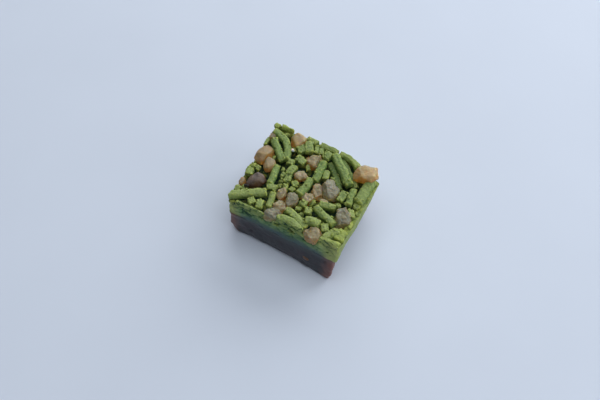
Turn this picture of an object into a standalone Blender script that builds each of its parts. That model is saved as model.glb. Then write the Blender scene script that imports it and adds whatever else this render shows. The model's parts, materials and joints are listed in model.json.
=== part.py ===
"""A hand-cut slice of a Japanese bean-paste sweet, in Blender, at its real size.

A firm layer of dark red bean paste carries a layer of green tea bean paste. The green paste was pushed
through a coarse strainer, so its top is a bed of short broken noodles. Pieces of candied chestnut sit
among the noodles, and one small piece shows in the cut side of the dark layer. The slice stands on z = 0.
"""

import math
import random

import bmesh
import bpy
from mathutils import Matrix, Vector, noise
from mathutils.geometry import intersect_point_line

MM = 0.001

# The slice in plan, at the level where the noodles lie. The back edge was cut askew, in a slow curve.
FRONT_LEFT = Vector((-23.4, -17.4)) * MM
FRONT_RIGHT = Vector((21.9, -18.9)) * MM
BACK_RIGHT = Vector((23.3, 14.0)) * MM
BACK_LEFT = Vector((-23.9, 22.0)) * MM
BACK_BULGE = 3.0 * MM
BULGE_TO_RIGHT = 1.6  # over 1 moves the widest place of the bulge to the right

# About how wide and deep the slice is, to place the rounding of its edges.
ACROSS = 46.0 * MM
DEEP = 37.0 * MM

# How far each corner of the foot lies from the corner above it, because the knife leaned.
LEAN_FRONT_LEFT = Vector((-0.5, 0.0)) * MM
LEAN_FRONT_RIGHT = Vector((-1.7, -2.6)) * MM
LEAN_BACK_RIGHT = Vector((-6.0, -0.6)) * MM
LEAN_BACK_LEFT = Vector((0.4, -0.4)) * MM

# Where the foot is rubbed off at its two front corners: how far in, and how far round the corner it reaches.
WEAR_FRONT_LEFT = (1.5 * MM, 4.4 * MM)
WEAR_FRONT_RIGHT = (0.5 * MM, 2.6 * MM)
WEAR_UPWARDS = 0.45

BASE_HEIGHT = 12.2 * MM
BASE_EDGE = 1.0 * MM
SEAM_GAP = 0.3 * MM
PASTE_TOP = 19.4 * MM
KNIFE_TOP = 26.0 * MM
KNIFE_EDGE = 0.8 * MM
OVERSIZE = 0.05  # how far the paste reaches past the slice on each side before the knife trims it

# The middle of the whole sweet's footprint, in the same plan, becomes the origin.
MIDDLE = Vector((-0.56, 0.37)) * MM

# How uneven the hand-made surfaces are.
SEAM_WAVE = 0.55 * MM
BASE_WALL_WAVE = 0.42 * MM
WALL_WAVE = 0.35 * MM
TOP_WAVE = 0.45 * MM
WAVE_LENGTH = 9.0 * MM

NOODLE_SIDES = 2  # Blender's bevel resolution: 8 sides
STEP_ALONG_NOODLE = 2.6 * MM
REST_SHARE = 0.72  # a noodle's axis lies this share of its radius above the paste
WORN_END = 0.22  # each end tapers over this share of the diameter
PLUMPNESS = 1.05  # pressed paste swells a little over the strainer's hole
SOCKET_GAP = 0.32 * MM
CHESTNUT_CORNERS = 20
CRUMB_CORNERS = 12
CRUMB_SUNK = 0.55  # a crumb's middle lies this share of its radius above the paste
CRUMB_OVERLAP = 0.15 * MM
CRUMB_SPACING = 1.3 * MM
SMALLEST_CRUMB = 0.65 * MM
LARGEST_CRUMB = 1.35 * MM
SEED = 11

# Noodles that show in the top, from the back to the front. Each is where it starts and ends in plan, how
# far it bows to its left, its diameter, and how much higher it lies than one at rest on the paste, in mm.
NOODLES = (
    # back left corner
    (-23.3, 21.4, -22.1, 20.5, 0.0, 2.8, 0.2),
    (-20.3, 21.6, -16.6, 21.5, 0.1, 2.6, 0.2),
    (-22.0, 17.9, -12.5, 8.2, 2.4, 2.9, 0.2),
    (-20.4, 14.3, -13.2, 7.0, -0.4, 2.9, 0.2),
    (-23.4, 14.6, -23.3, 11.4, 0.0, 1.8, -0.3),
    # along the back
    (-8.8, 20.4, -5.2, 19.9, 0.2, 2.8, 0.1),
    (-7.6, 18.4, -6.0, 15.0, 0.0, 3.5, 0.1),
    (-10.2, 15.8, -8.3, 13.9, 0.0, 3.5, 0.0),
    (-4.5, 18.6, -3.7, 16.0, 0.1, 2.0, 0.1),
    (-3.0, 20.1, 3.4, 19.6, 0.1, 2.7, 0.2),
    (-2.4, 18.2, -1.2, 16.0, 0.0, 2.1, 0.3),
    (1.1, 17.2, 0.9, 14.9, 0.0, 3.4, 0.2),
    (5.3, 19.5, 13.7, 16.5, 0.9, 2.9, 0.1),
    (3.9, 17.0, 14.0, 7.3, 0.2, 3.4, 0.7),
    (6.8, 17.4, 16.4, 8.4, 0.3, 2.5, -0.1),
    (3.2, 14.1, 11.4, 5.0, 0.5, 2.6, -0.2),
    # middle
    (1.2, 12.4, 1.8, 3.5, 0.2, 3.1, 0.5),
    (4.2, 9.4, 4.9, 6.4, 0.0, 2.5, 0.2),
    (-8.2, 10.3, -5.4, 9.2, 0.0, 3.1, 0.3),
    (-3.8, 9.0, -2.6, 7.4, 0.0, 1.8, 0.0),
    (-10.9, 7.5, -9.0, 7.4, 0.0, 2.8, 0.1),
    (-7.9, 5.7, -8.2, 2.6, 0.0, 3.2, 0.2),
    (-8.2, 2.0, -7.6, -0.6, 0.0, 2.8, 0.2),
    (-14.0, 3.4, -12.6, -4.6, 0.1, 2.6, 0.3),
    (-11.6, 3.5, -10.8, 3.4, 0.0, 1.8, 0.1),
    (-10.4, 0.9, -9.6, 0.7, 0.0, 2.4, 0.5),
    (-22.6, 0.2, -21.8, 0.2, 0.0, 2.2, 0.1),
    (-20.4, 0.0, -19.6, -0.1, 0.0, 2.3, 0.1),
    (-22.3, -2.0, -22.0, -4.2, 0.0, 3.0, 0.1),
    (-7.2, -2.5, -6.8, -4.4, 0.0, 2.2, -0.1),
    (-4.6, 0.0, -3.6, -1.2, 0.0, 2.6, 0.3),
    (-4.7, -3.0, -3.6, -3.4, 0.0, 2.2, 0.0),
    (0.1, 3.0, -0.9, -4.0, 0.5, 3.1, 0.4),
    (6.6, 7.9, 8.6, 7.4, 0.0, 1.6, 0.0),
    (13.7, 3.6, 13.9, 0.3, 0.0, 3.0, 0.2),
    (16.5, 6.3, 17.3, -0.2, 0.1, 2.8, 0.3),
    (15.2, 9.9, 16.7, 8.5, 0.0, 1.5, 0.0),
    (20.9, 12.2, 20.4, 2.6, 0.0, 3.6, 0.1),
    (22.4, 13.2, 22.6, 12.2, 0.0, 1.9, 0.0),
    (19.5, 0.3, 20.9, 0.2, 0.0, 2.3, 0.1),
    # left and front left
    (-12.6, -6.2, -9.8, -5.9, 0.2, 2.6, 0.3),
    (-23.5, -15.7, -12.3, -9.2, 0.0, 3.3, 0.2),
    (-9.5, -8.2, -8.4, -14.0, 0.1, 2.5, 0.2),
    (-15.6, -14.2, -14.2, -15.4, 0.0, 3.1, 0.2),
    (-12.0, -13.4, -11.4, -16.0, 0.0, 2.9, 0.2),
    (-19.6, -17.7, -8.8, -18.4, 0.2, 2.6, -0.3),
    (-20.6, -9.6, -20.5, -11.0, 0.0, 2.2, 0.0),
    (-22.6, -10.8, -22.6, -12.4, 0.0, 2.3, 0.0),
    # front right
    (13.5, -2.0, 14.8, -2.2, 0.0, 1.9, 0.1),
    (19.3, -2.9, 20.6, -5.2, 0.0, 3.2, 0.2),
    (21.3, -6.6, 21.5, -8.8, 0.0, 1.6, -0.2),
    (8.2, -4.6, 13.4, -4.2, 0.1, 2.6, 0.2),
    (7.4, -7.0, 16.0, -10.6, 0.0, 2.8, 0.4),
    (1.8, -7.1, 3.4, -7.3, 0.0, 2.6, 0.3),
    (0.9, -9.9, 2.6, -9.5, 0.0, 1.6, 0.1),
    (5.4, -8.5, 5.7, -10.2, 0.0, 2.8, 0.3),
    (-1.8, -12.2, 7.2, -16.2, 0.5, 2.7, 0.2),
    (6.9, -13.5, 11.4, -13.2, 0.2, 3.4, 0.5),
    (13.3, -12.6, 14.8, -14.2, 0.0, 3.1, 0.2),
    (20.2, -11.0, 19.6, -14.0, 0.0, 3.7, 0.2),
    (17.8, -13.8, 17.0, -16.2, 0.0, 3.2, 0.1),
    (14.8, -17.9, 21.2, -17.8, 0.0, 2.7, 0.0),
    (-2.4, -17.3, 6.4, -18.8, 1.3, 2.9, 0.0),
)

# Candied chestnut pieces: name, middle in plan, length, width and height, turn of the length from +X in
# degrees, and how high the middle stands above the paste, in mm.
CHESTNUTS = (
    ("chestnut_back", -12.0, 17.6, 6.8, 6.2, 5.8, 80, 0.9),
    ("chestnut_back_left", -21.9, 16.4, 4.0, 2.4, 3.4, 80, 0.3),
    ("chestnut_left_large", -21.2, 6.6, 9.6, 5.8, 5.4, 75, 0.6),
    ("chestnut_left_round", -16.8, 3.1, 5.4, 5.0, 4.6, 85, 1.1),
    ("chestnut_dark", -17.9, -5.5, 8.4, 5.0, 5.0, 45, 0.8),
    ("chestnut_left_edge", -22.6, -7.9, 3.6, 2.2, 3.8, 88, 0.1),
    ("chestnut_back_middle", -2.7, 12.0, 5.2, 5.5, 4.6, 95, 0.6),
    ("chestnut_middle", -3.8, 3.6, 4.5, 3.8, 3.6, 10, 0.7),
    ("chestnut_centre_large", 8.8, 2.5, 8.2, 6.0, 5.6, 115, 0.8),
    ("chestnut_centre_side", 4.6, 0.1, 5.6, 3.1, 4.2, 120, 0.3),
    ("chestnut_centre_small", 2.9, -3.9, 4.4, 3.5, 3.6, 50, 0.7),
    ("chestnut_centre_bit", 8.6, -2.7, 2.7, 1.5, 2.0, 5, 0.9),
    ("chestnut_right", 17.9, -6.2, 7.4, 5.8, 4.8, 118, 0.8),
    ("chestnut_corner", 17.9, 13.8, 9.4, 6.7, 5.8, 18, 2.7),
    ("chestnut_front_grey", -2.3, -7.9, 5.5, 4.8, 5.0, 100, 0.8),
    ("chestnut_front_tan", -6.6, -7.2, 4.6, 3.2, 4.0, 110, 0.5),
    ("chestnut_front_bright", -4.5, -12.3, 4.6, 3.8, 3.8, 150, 1.1),
    ("chestnut_front_low", -5.7, -16.2, 6.2, 4.2, 4.6, 15, 0.5),
    ("chestnut_front_edge", 11.0, -17.5, 6.4, 5.4, 5.4, 20, 0.2),
)

# The chestnut piece that shows in the cut front of the dark layer.
BASE_CHESTNUT = ("chestnut_in_base", 10.0, -19.1, 3.2, 2.4, 1.9, 175)
BASE_CHESTNUT_HEIGHT = 6.2 * MM


def clear_scene():
    """Start from an empty scene."""
    for obj in list(bpy.data.objects):
        bpy.data.objects.remove(obj, do_unlink=True)


def make_collection(name):
    """A named collection, linked to the scene."""
    collection = bpy.data.collections.new(name)
    bpy.context.scene.collection.children.link(collection)
    return collection


def make_material(name, colour, roughness):
    """A food finish: base colour and roughness, never metallic."""
    material = bpy.data.materials.new(name)
    material.use_nodes = True
    shader = material.node_tree.nodes["Principled BSDF"]
    shader.inputs["Base Color"].default_value = (*colour, 1.0)
    shader.inputs["Roughness"].default_value = roughness
    shader.inputs["Metallic"].default_value = 0.0
    return material


def add_object(name, mesh, collection, material=None):
    """A mesh object in a collection."""
    obj = bpy.data.objects.new(name, mesh)
    collection.objects.link(obj)
    if material:
        mesh.materials.append(material)
    return obj


def in_slice(u, v, height):
    """The point of the slice at share u from left to right and v from front to back, at a height."""
    foot = 1.0 - height / PASTE_TOP
    front_left = FRONT_LEFT + LEAN_FRONT_LEFT * foot
    front_right = FRONT_RIGHT + LEAN_FRONT_RIGHT * foot
    back_left = BACK_LEFT + LEAN_BACK_LEFT * foot
    back_right = BACK_RIGHT + LEAN_BACK_RIGHT * foot
    front = front_left.lerp(front_right, u)
    back = back_left.lerp(back_right, u)
    plan = front.lerp(back, v)
    bulge = BACK_BULGE * v * math.sin(math.pi * min(max(u, 0.0), 1.0) ** BULGE_TO_RIGHT)
    return Vector((plan.x, plan.y + bulge, height))


def wave(x, y, z=0.0, seed=0):
    """Smooth unevenness from about -1 to 1 at a place in the sweet."""
    place = Vector((x, y, z)) / WAVE_LENGTH
    return noise.noise(place + Vector((seed, 2.0 * seed, 0.5 * seed)))


def seam_height(x, y):
    """The height of the seam between the two layers."""
    return BASE_HEIGHT + SEAM_WAVE * wave(x, y, seed=3)


def sliced_box(cuts):
    """A closed box from 0 to 1 on each axis, its faces sliced into a grid at the given shares."""
    bm = bmesh.new()
    bmesh.ops.create_cube(bm, size=1.0, matrix=Matrix.Translation((0.5, 0.5, 0.5)))
    for axis, shares in enumerate(cuts):
        normal = Vector((0.0, 0.0, 0.0))
        normal[axis] = 1.0
        for share in shares:
            geometry = bm.verts[:] + bm.edges[:] + bm.faces[:]
            bmesh.ops.bisect_plane(bm, geom=geometry, plane_co=normal * share, plane_no=normal)
    return bm


def shares_along(length, count, radius):
    """Shares that split a side evenly, with more near each end to round the edges with this radius."""
    near = [0.3 * radius / length, radius / length]
    inner = [i / count for i in range(1, count)]
    return near + inner + [1.0 - share for share in reversed(near)]


def rounded(share, lengths, radius):
    """Pull a point of the unit box in at the edges, so that they are round with this radius."""
    real = Vector((share[i] * lengths[i] for i in range(3)))
    inner = Vector((min(max(real[i], radius), lengths[i] - radius) for i in range(3)))
    out = real - inner
    if out.length > radius:
        real = inner + out * (radius / out.length)
    return Vector((real[i] / lengths[i] for i in range(3)))


def shape_box(bm, to_place):
    """Move each vertex of a unit box to its place in the sweet."""
    for vertex in bm.verts:
        vertex.co = to_place(vertex.co.copy())
    bmesh.ops.recalc_face_normals(bm, faces=bm.faces[:])


def mesh_from(bm, name):
    """Finish a bmesh as a mesh."""
    mesh = bpy.data.meshes.new(name)
    bm.to_mesh(mesh)
    bm.free()
    return mesh


def ruffle(point, amount, seed):
    """Shift a point in plan by the unevenness of a cut wall."""
    point.x += amount * wave(point.x, point.y, point.z, seed)
    point.y += amount * wave(point.x, point.y, point.z, seed + 7)
    return point


def wear_corner(point, u, v, wear):
    """Rub a point in towards the middle and up, the more the nearer it is to one corner of the foot."""
    depth, reach = wear
    corner = in_slice(u, v, 0.0)
    away = (point - corner).length
    if away < reach:
        inwards = (in_slice(0.5, 0.5, 0.0) - corner).normalized()
        inwards.z = WEAR_UPWARDS
        point += inwards * (depth * (1.0 - away / reach))
    return point


def add_base(collection, material):
    """The dark layer: a slab with rounded edges, rubbed-off front corners and a flat foot."""
    lengths = (ACROSS, DEEP, BASE_HEIGHT)
    bm = sliced_box([shares_along(length, count, BASE_EDGE) for length, count in zip(lengths, (10, 8, 2))])

    def to_place(share):
        soft = rounded(share, lengths, BASE_EDGE)
        flat = in_slice(soft.x, soft.y, 0.0)
        height = soft.z * seam_height(flat.x, flat.y)
        point = in_slice(soft.x, soft.y, height)
        if share.z > 0.0:
            point = ruffle(point, BASE_WALL_WAVE, seed=5)
        point = wear_corner(point, 0.0, 0.0, WEAR_FRONT_LEFT)
        return wear_corner(point, 1.0, 0.0, WEAR_FRONT_RIGHT)

    shape_box(bm, to_place)
    return add_object("azuki_base", mesh_from(bm, "azuki_base"), collection, material)


def add_paste_core(collection, material):
    """The solid green paste under the loose noodles, a little larger than the slice."""
    even = [i / 10 for i in range(1, 10)]
    bm = sliced_box((even, even, ()))

    def to_place(share):
        u = share.x * (1.0 + 2.0 * OVERSIZE) - OVERSIZE
        v = share.y * (1.0 + 2.0 * OVERSIZE) - OVERSIZE
        point = in_slice(u, v, PASTE_TOP)
        if share.z > 0.5:
            point.z += TOP_WAVE * wave(point.x, point.y, seed=9)
        else:
            point.z = seam_height(point.x, point.y) + SEAM_GAP
        return point

    shape_box(bm, to_place)
    return add_object("matcha_noodles", mesh_from(bm, "matcha_noodles"), collection, material)


def add_knife_cut(collection):
    """What the knife leaves: the slice's own four uneven walls, far enough up to trim the noodles."""
    lengths = (ACROSS, DEEP, KNIFE_TOP)
    heights = (0.35, 0.5, 0.65, 0.8)
    bm = sliced_box((shares_along(ACROSS, 11, KNIFE_EDGE), shares_along(DEEP, 9, KNIFE_EDGE), heights))

    def to_place(share):
        soft = rounded(share, lengths, KNIFE_EDGE)
        point = in_slice(soft.x, soft.y, share.z * KNIFE_TOP)
        return ruffle(point, WALL_WAVE, seed=12)

    shape_box(bm, to_place)
    return add_object("knife_cut", mesh_from(bm, "knife_cut"), collection)


def noodle_axis(start, end, bow, level):
    """Points along a noodle's axis, bowed to its left, lying at one level above the paste."""
    along = end - start
    left = Vector((-along.y, along.x)).normalized()
    count = max(3, round(along.length / STEP_ALONG_NOODLE) + 2)
    points = []
    for i in range(count):
        share = i / (count - 1)
        plan = start.lerp(end, share) + left * (4.0 * bow * share * (1.0 - share))
        paste = PASTE_TOP + TOP_WAVE * wave(plan.x, plan.y, seed=9)
        points.append(Vector((plan.x, plan.y, 0.5 * (paste + PASTE_TOP) + level)))
    return points


def add_noodle(index, row, rng, collection):
    """One broken noodle: a lumpy tube with worn ends, as a mesh that can be joined to the paste."""
    x1, y1, x2, y2, bow, diameter, lift = (value * MM for value in row)
    diameter *= PLUMPNESS
    level = REST_SHARE * diameter / 2.0 + lift
    points = noodle_axis(Vector((x1, y1)), Vector((x2, y2)), bow, level)
    before = points[0] + (points[0] - points[1]).normalized() * (WORN_END * diameter)
    after = points[-1] + (points[-1] - points[-2]).normalized() * (WORN_END * diameter)
    points = [before] + points + [after]
    curve = bpy.data.curves.new(f"noodle_{index:02d}", "CURVE")
    curve.dimensions = "3D"
    curve.bevel_depth = diameter / 2.0
    curve.bevel_resolution = NOODLE_SIDES
    curve.use_fill_caps = True
    spline = curve.splines.new("POLY")
    spline.points.add(len(points) - 1)
    for i, point in enumerate(points):
        last = i in (0, len(points) - 1)
        spline.points[i].co = (*point, 1.0)
        spline.points[i].radius = rng.uniform(0.55, 0.7) if last else rng.uniform(0.93, 1.06)
    tube = bpy.data.objects.new(curve.name, curve)
    collection.objects.link(tube)
    make_solid(tube, collection)


def make_solid(tube, collection):
    """Replace a curve object by a closed mesh object at the same place."""
    bpy.context.view_layer.update()
    graph = bpy.context.evaluated_depsgraph_get()
    mesh = bpy.data.meshes.new_from_object(tube.evaluated_get(graph))
    bm = bmesh.new()
    bm.from_mesh(mesh)
    bmesh.ops.remove_doubles(bm, verts=bm.verts[:], dist=0.01 * MM)
    bmesh.ops.recalc_face_normals(bm, faces=bm.faces[:])
    bm.to_mesh(mesh)
    bm.free()
    solid = bpy.data.objects.new(tube.name + "_solid", mesh)
    solid.matrix_world = tube.matrix_world
    collection.objects.link(solid)
    bpy.data.objects.remove(tube, do_unlink=True)


def chunk_points(size, count, rng):
    """Points spread evenly on a box-like egg, each a little out of place: the corners of a broken piece."""
    points = []
    golden = math.pi * (3.0 - math.sqrt(5.0))
    for i in range(count):
        z = 1.0 - 2.0 * (i + 0.5) / count
        ring = math.sqrt(1.0 - z * z)
        angle = golden * i + rng.uniform(-0.35, 0.35)
        way = Vector((ring * math.cos(angle), ring * math.sin(angle), z))
        boxy = max(abs(way.x), abs(way.y), abs(way.z)) ** -0.45
        points.append(way * boxy * rng.uniform(0.84, 1.06))
    for axis in range(3):
        low = min(point[axis] for point in points)
        high = max(point[axis] for point in points)
        for point in points:
            point[axis] = size[axis] * ((point[axis] - low) / (high - low) - 0.5)
    return points


def add_chunk(name, size, turn, place, count, rng, collection, material=None):
    """One angular piece: the tight hull of its corner points."""
    bm = bmesh.new()
    for point in chunk_points(size, count, rng):
        bm.verts.new(point)
    hull = bmesh.ops.convex_hull(bm, input=bm.verts[:])
    inner = [item for item in hull["geom_interior"] if isinstance(item, bmesh.types.BMVert)]
    bmesh.ops.delete(bm, geom=inner, context="VERTS")
    bmesh.ops.recalc_face_normals(bm, faces=bm.faces[:])
    obj = add_object(name, mesh_from(bm, name), collection, material)
    obj.rotation_euler = (rng.uniform(-0.2, 0.2), rng.uniform(-0.2, 0.2), math.radians(turn))
    obj.location = place
    return obj


def add_socket(piece, size, collection):
    """The room that a chestnut piece needs: the same piece, larger by the gap on every side."""
    socket = piece.copy()
    socket.data = piece.data.copy()
    socket.name = piece.name + "_socket"
    collection.objects.link(socket)
    grow = [1.0 + 2.0 * SOCKET_GAP / side for side in size]
    socket.data.transform(Matrix.Diagonal((*grow, 1.0)))
    socket.hide_render = True
    socket.display_type = "WIRE"
    return socket


def noodle_places():
    """Each noodle's axis in plan and its radius."""
    places = []
    for row in NOODLES:
        x1, y1, x2, y2, bow, diameter, lift = (value * MM for value in row)
        places.append((noodle_axis(Vector((x1, y1)), Vector((x2, y2)), bow, 0.0), PLUMPNESS * diameter / 2.0))
    return places


def room_at(place, noodles, crumbs):
    """How far a place in plan is from the nearest noodle, chestnut piece or crumb."""
    room = KNIFE_TOP
    for axis, radius in noodles:
        for start, end in zip(axis, axis[1:]):
            nearest, share = intersect_point_line(place, start.xy, end.xy)
            nearest = start.xy.lerp(end.xy, min(max(share, 0.0), 1.0))
            room = min(room, (place - nearest.xy).length - radius)
    for name, x, y, length, width, height, turn, lift in CHESTNUTS:
        away = Vector((x, y)) * MM - place
        away.rotate(Matrix.Rotation(math.radians(-turn), 2))
        reach = Vector((away.x / length, away.y / width)).length * 2.0 / MM
        room = min(room, away.length * (1.0 - 1.0 / max(reach, 0.01)))
    for spot, radius in crumbs:
        room = min(room, (place - spot).length - radius)
    return room


def crumb_places(rng):
    """Places in the gaps between noodles and chestnut pieces, each with the radius that fits there."""
    noodles = noodle_places()
    crumbs = []
    steps_across = int((BACK_RIGHT.x - BACK_LEFT.x) / CRUMB_SPACING)
    steps_deep = int((BACK_LEFT.y - FRONT_RIGHT.y) / CRUMB_SPACING)
    spots = [(i, j) for i in range(steps_across) for j in range(steps_deep)]
    rng.shuffle(spots)
    for i, j in spots:
        share = ((i + rng.random()) / steps_across, (j + rng.random()) / steps_deep)
        place = in_slice(*share, PASTE_TOP).xy
        room = room_at(place, noodles, crumbs)
        if room > SMALLEST_CRUMB:
            crumbs.append((place, min(room, LARGEST_CRUMB) + CRUMB_OVERLAP))
    return crumbs


def add_crumb(index, place, radius, rng, collection):
    """One crumb of green paste, half sunk in the paste."""
    paste = PASTE_TOP + 0.5 * TOP_WAVE * wave(place.x, place.y, seed=9)
    size = [2.0 * radius * rng.uniform(0.85, 1.1) for axis in range(3)]
    middle = Vector((place.x, place.y, paste + CRUMB_SUNK * radius))
    add_chunk(f"crumb_{index:02d}", size, rng.uniform(0.0, 360.0), middle, CRUMB_CORNERS, rng, collection)


def boolean(obj, operation, other=None, collection=None, solver="EXACT"):
    """Join or cut an object with another, or with all of a collection, and keep the result."""
    modifier = obj.modifiers.new("boolean", "BOOLEAN")
    modifier.operation = operation
    modifier.solver = solver
    if collection:
        modifier.operand_type = "COLLECTION"
        modifier.collection = collection
    else:
        modifier.object = other
    bpy.context.view_layer.update()
    graph = bpy.context.evaluated_depsgraph_get()
    mesh = bpy.data.meshes.new_from_object(obj.evaluated_get(graph))
    obj.modifiers.remove(modifier)
    obj.data = mesh


def keep_largest_body(obj):
    """Drop loose scraps: keep the body with the most vertices."""
    bm = bmesh.new()
    bm.from_mesh(obj.data)
    left = set(bm.verts)
    bodies = []
    while left:
        stack = [left.pop()]
        body = set(stack)
        while stack:
            for edge in stack.pop().link_edges:
                for vertex in edge.verts:
                    if vertex in left:
                        left.discard(vertex)
                        body.add(vertex)
                        stack.append(vertex)
        bodies.append(body)
    bodies.sort(key=len)
    loose = [vertex for body in bodies[:-1] for vertex in body]
    bmesh.ops.delete(bm, geom=loose, context="VERTS")
    bmesh.ops.triangulate(bm, faces=bm.faces[:])
    bm.to_mesh(obj.data)
    bm.free()


def empty_collection(collection):
    """Remove a collection and what it holds."""
    for obj in list(collection.objects):
        bpy.data.objects.remove(obj, do_unlink=True)
    bpy.data.collections.remove(collection)


def add_chestnuts(sweet, sockets, material, rng):
    """All the chestnut pieces of the top, each with its socket."""
    for name, x, y, length, width, height, turn, lift in CHESTNUTS:
        size = (length * MM, width * MM, height * MM)
        place = Vector((x * MM, y * MM, PASTE_TOP + lift * MM))
        piece = add_chunk(name, size, turn, place, CHESTNUT_CORNERS, rng, sweet, material)
        add_socket(piece, size, sockets)


def add_base_chestnut(sweet, material, rng):
    """The piece set in the dark layer's cut front."""
    name, x, y, length, width, height, turn = BASE_CHESTNUT
    size = (length * MM, width * MM, height * MM)
    place = Vector((x * MM, y * MM, BASE_CHESTNUT_HEIGHT))
    return add_chunk(name, size, turn, place, CHESTNUT_CORNERS, rng, sweet, material), size


def main():
    clear_scene()
    rng = random.Random(SEED)
    sweet = make_collection("matcha_chestnut_slice")
    cutters = make_collection("knife")
    sockets = make_collection("sockets")
    strands = make_collection("strands")
    azuki = make_material("azuki_paste", (0.085, 0.040, 0.038), 0.55)
    matcha = make_material("matcha_paste", (0.180, 0.230, 0.060), 0.75)
    candied = make_material("candied_chestnut", (0.400, 0.260, 0.120), 0.35)

    base = add_base(sweet, azuki)
    top = add_paste_core(sweet, matcha)
    knife = add_knife_cut(cutters)
    knife.hide_render = True
    knife.display_type = "WIRE"
    add_chestnuts(sweet, sockets, candied, rng)
    for index, row in enumerate(NOODLES):
        add_noodle(index, row, rng, strands)
    for index, (place, radius) in enumerate(crumb_places(rng)):
        add_crumb(index, place, radius, rng, strands)

    boolean(top, "UNION", collection=strands, solver="MANIFOLD")
    boolean(top, "INTERSECT", other=knife, solver="MANIFOLD")
    boolean(top, "DIFFERENCE", collection=sockets, solver="MANIFOLD")
    keep_largest_body(top)
    empty_collection(strands)
    empty_collection(sockets)

    piece, size = add_base_chestnut(sweet, candied, rng)
    hole = add_socket(piece, size, cutters)
    boolean(base, "DIFFERENCE", other=hole)
    keep_largest_body(base)

    frame = bpy.data.objects.new("slice_frame", None)
    frame.location = (-MIDDLE.x, -MIDDLE.y, 0.0)
    sweet.objects.link(frame)
    for obj in list(sweet.objects):
        if obj is not frame:
            obj.parent = frame


main()
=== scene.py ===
# %% [markdown]
# # A slice of matcha and chestnut bean-paste sweet
#
# The real thing is a small square cut with a knife from a pressed slab. The lower half is dark red bean
# paste. The upper half is green tea bean paste that was rubbed through a coarse sieve, so that it falls as
# short noodles, with pieces of candied chestnut dropped in between and the whole pressed lightly together.
#
# This lesson dresses the plain solids of the slice with fine shapes and finishes. The solids come first,
# because every piece made here has to sit where a solid sits.

import json
import math
import random

import bmesh
import bpy
import numpy as np
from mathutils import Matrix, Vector, noise
from mathutils.bvhtree import BVHTree

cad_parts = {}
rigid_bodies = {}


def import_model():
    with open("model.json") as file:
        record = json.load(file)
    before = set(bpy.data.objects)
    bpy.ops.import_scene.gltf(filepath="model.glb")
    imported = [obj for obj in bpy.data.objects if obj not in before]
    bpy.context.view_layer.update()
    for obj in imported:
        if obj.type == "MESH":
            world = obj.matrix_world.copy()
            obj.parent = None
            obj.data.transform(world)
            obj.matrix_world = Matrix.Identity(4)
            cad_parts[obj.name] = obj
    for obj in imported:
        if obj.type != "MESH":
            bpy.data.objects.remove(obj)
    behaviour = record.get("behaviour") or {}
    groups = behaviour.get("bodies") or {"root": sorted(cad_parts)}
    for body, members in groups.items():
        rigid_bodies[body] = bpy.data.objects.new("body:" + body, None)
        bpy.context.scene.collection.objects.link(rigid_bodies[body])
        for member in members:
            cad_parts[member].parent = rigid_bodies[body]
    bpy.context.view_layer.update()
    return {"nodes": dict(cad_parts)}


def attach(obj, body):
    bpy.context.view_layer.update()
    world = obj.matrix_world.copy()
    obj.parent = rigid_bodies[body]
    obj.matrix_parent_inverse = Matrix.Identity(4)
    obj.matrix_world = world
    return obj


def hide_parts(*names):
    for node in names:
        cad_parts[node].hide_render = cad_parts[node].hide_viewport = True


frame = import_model()
MM = 0.001
print("solids:", len(frame["nodes"]))

# %% [markdown]
# ## The camera
#
# The photographer looked down on the sweet from the front and a little from the right. A camera can be
# placed by hand, but two angles and a distance say the same thing and are easy to change: start from the
# point looked at, and step back from it along the line of sight. The lens is an ordinary 50 mm.

# %% Place the camera
AZIMUTH = math.radians(26.5)
ELEVATION = math.radians(56.0)
DISTANCE = 305 * MM
LOOK_AT = Vector((1.26, -6.77, 21.0)) * MM

camera = bpy.data.objects.new("camera", bpy.data.cameras.new("camera"))
camera.data.lens = 50
camera.data.sensor_width = 36
camera.data.clip_start = 10 * MM
bpy.context.scene.collection.objects.link(camera)
bpy.context.scene.camera = camera

level = math.cos(ELEVATION)
back = Vector((math.sin(AZIMUTH) * level, -math.cos(AZIMUTH) * level, math.sin(ELEVATION)))
camera.location = LOOK_AT + back * DISTANCE
camera.rotation_euler = (math.pi / 2 - ELEVATION, 0.0, AZIMUTH)
print("camera at", [round(x / MM, 1) for x in camera.location], "mm")

# %% [markdown]
# ## Colours and nodes
#
# Colours are easiest to choose as the hex numbers that a screen shows, but light is added up in linear
# numbers, so one function turns the first into the second. A second small function adds a shader node with
# its settings and its links, which keeps each material below down to a readable list.

# %% Two helpers for materials
def linear(hex_colour):
    """The linear colour, with alpha, of an sRGB hex number such as '#7b8350'."""
    parts = [int(hex_colour[i:i + 2], 16) / 255 for i in (1, 3, 5)]
    return [x / 12.92 if x <= 0.04045 else ((x + 0.055) / 1.055) ** 2.4 for x in parts] + [1.0]


def add_node(tree, kind, settings=None, links=None):
    """Add a node. A setting is one of its properties or the value of an input; a link feeds an input."""
    node = tree.nodes.new(kind)
    for name, value in (settings or {}).items():
        if isinstance(name, str) and hasattr(node, name):
            setattr(node, name, value)
        else:
            node.inputs[name].default_value = value
    for name, socket in (links or {}).items():
        tree.links.new(socket, node.inputs[name])
    return node


def per_size(size_mm):
    """The scale that gives a noise pattern bumps of this size in millimetres."""
    return 1.0 / (size_mm * MM)


def new_material(name):
    """An empty material with a Principled shader, and the tree and shader to build on."""
    material = bpy.data.materials.new(name)
    material.use_nodes = True
    tree = material.node_tree
    return material, tree, tree.nodes["Principled BSDF"]


print("matcha green", [round(x, 3) for x in linear("#7b8350")])

# %% [markdown]
# ## The table and the light
#
# The slice stands on a pale matt table top in a bright room on an overcast day. Most of the light comes down
# from a wide pale ceiling, so hardly any shadow has an edge. Two window panes low behind the slice rake over
# the noodles and make the table brightest at the back right, and a weaker lamp at the right keeps the cut
# walls from going black. Big lamps give soft shadows, so the size matters more here than the power. Places
# and widths are in metres, powers in watts.

# %% Make the table top
TABLE_WIDTH = 4000 * MM

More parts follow.
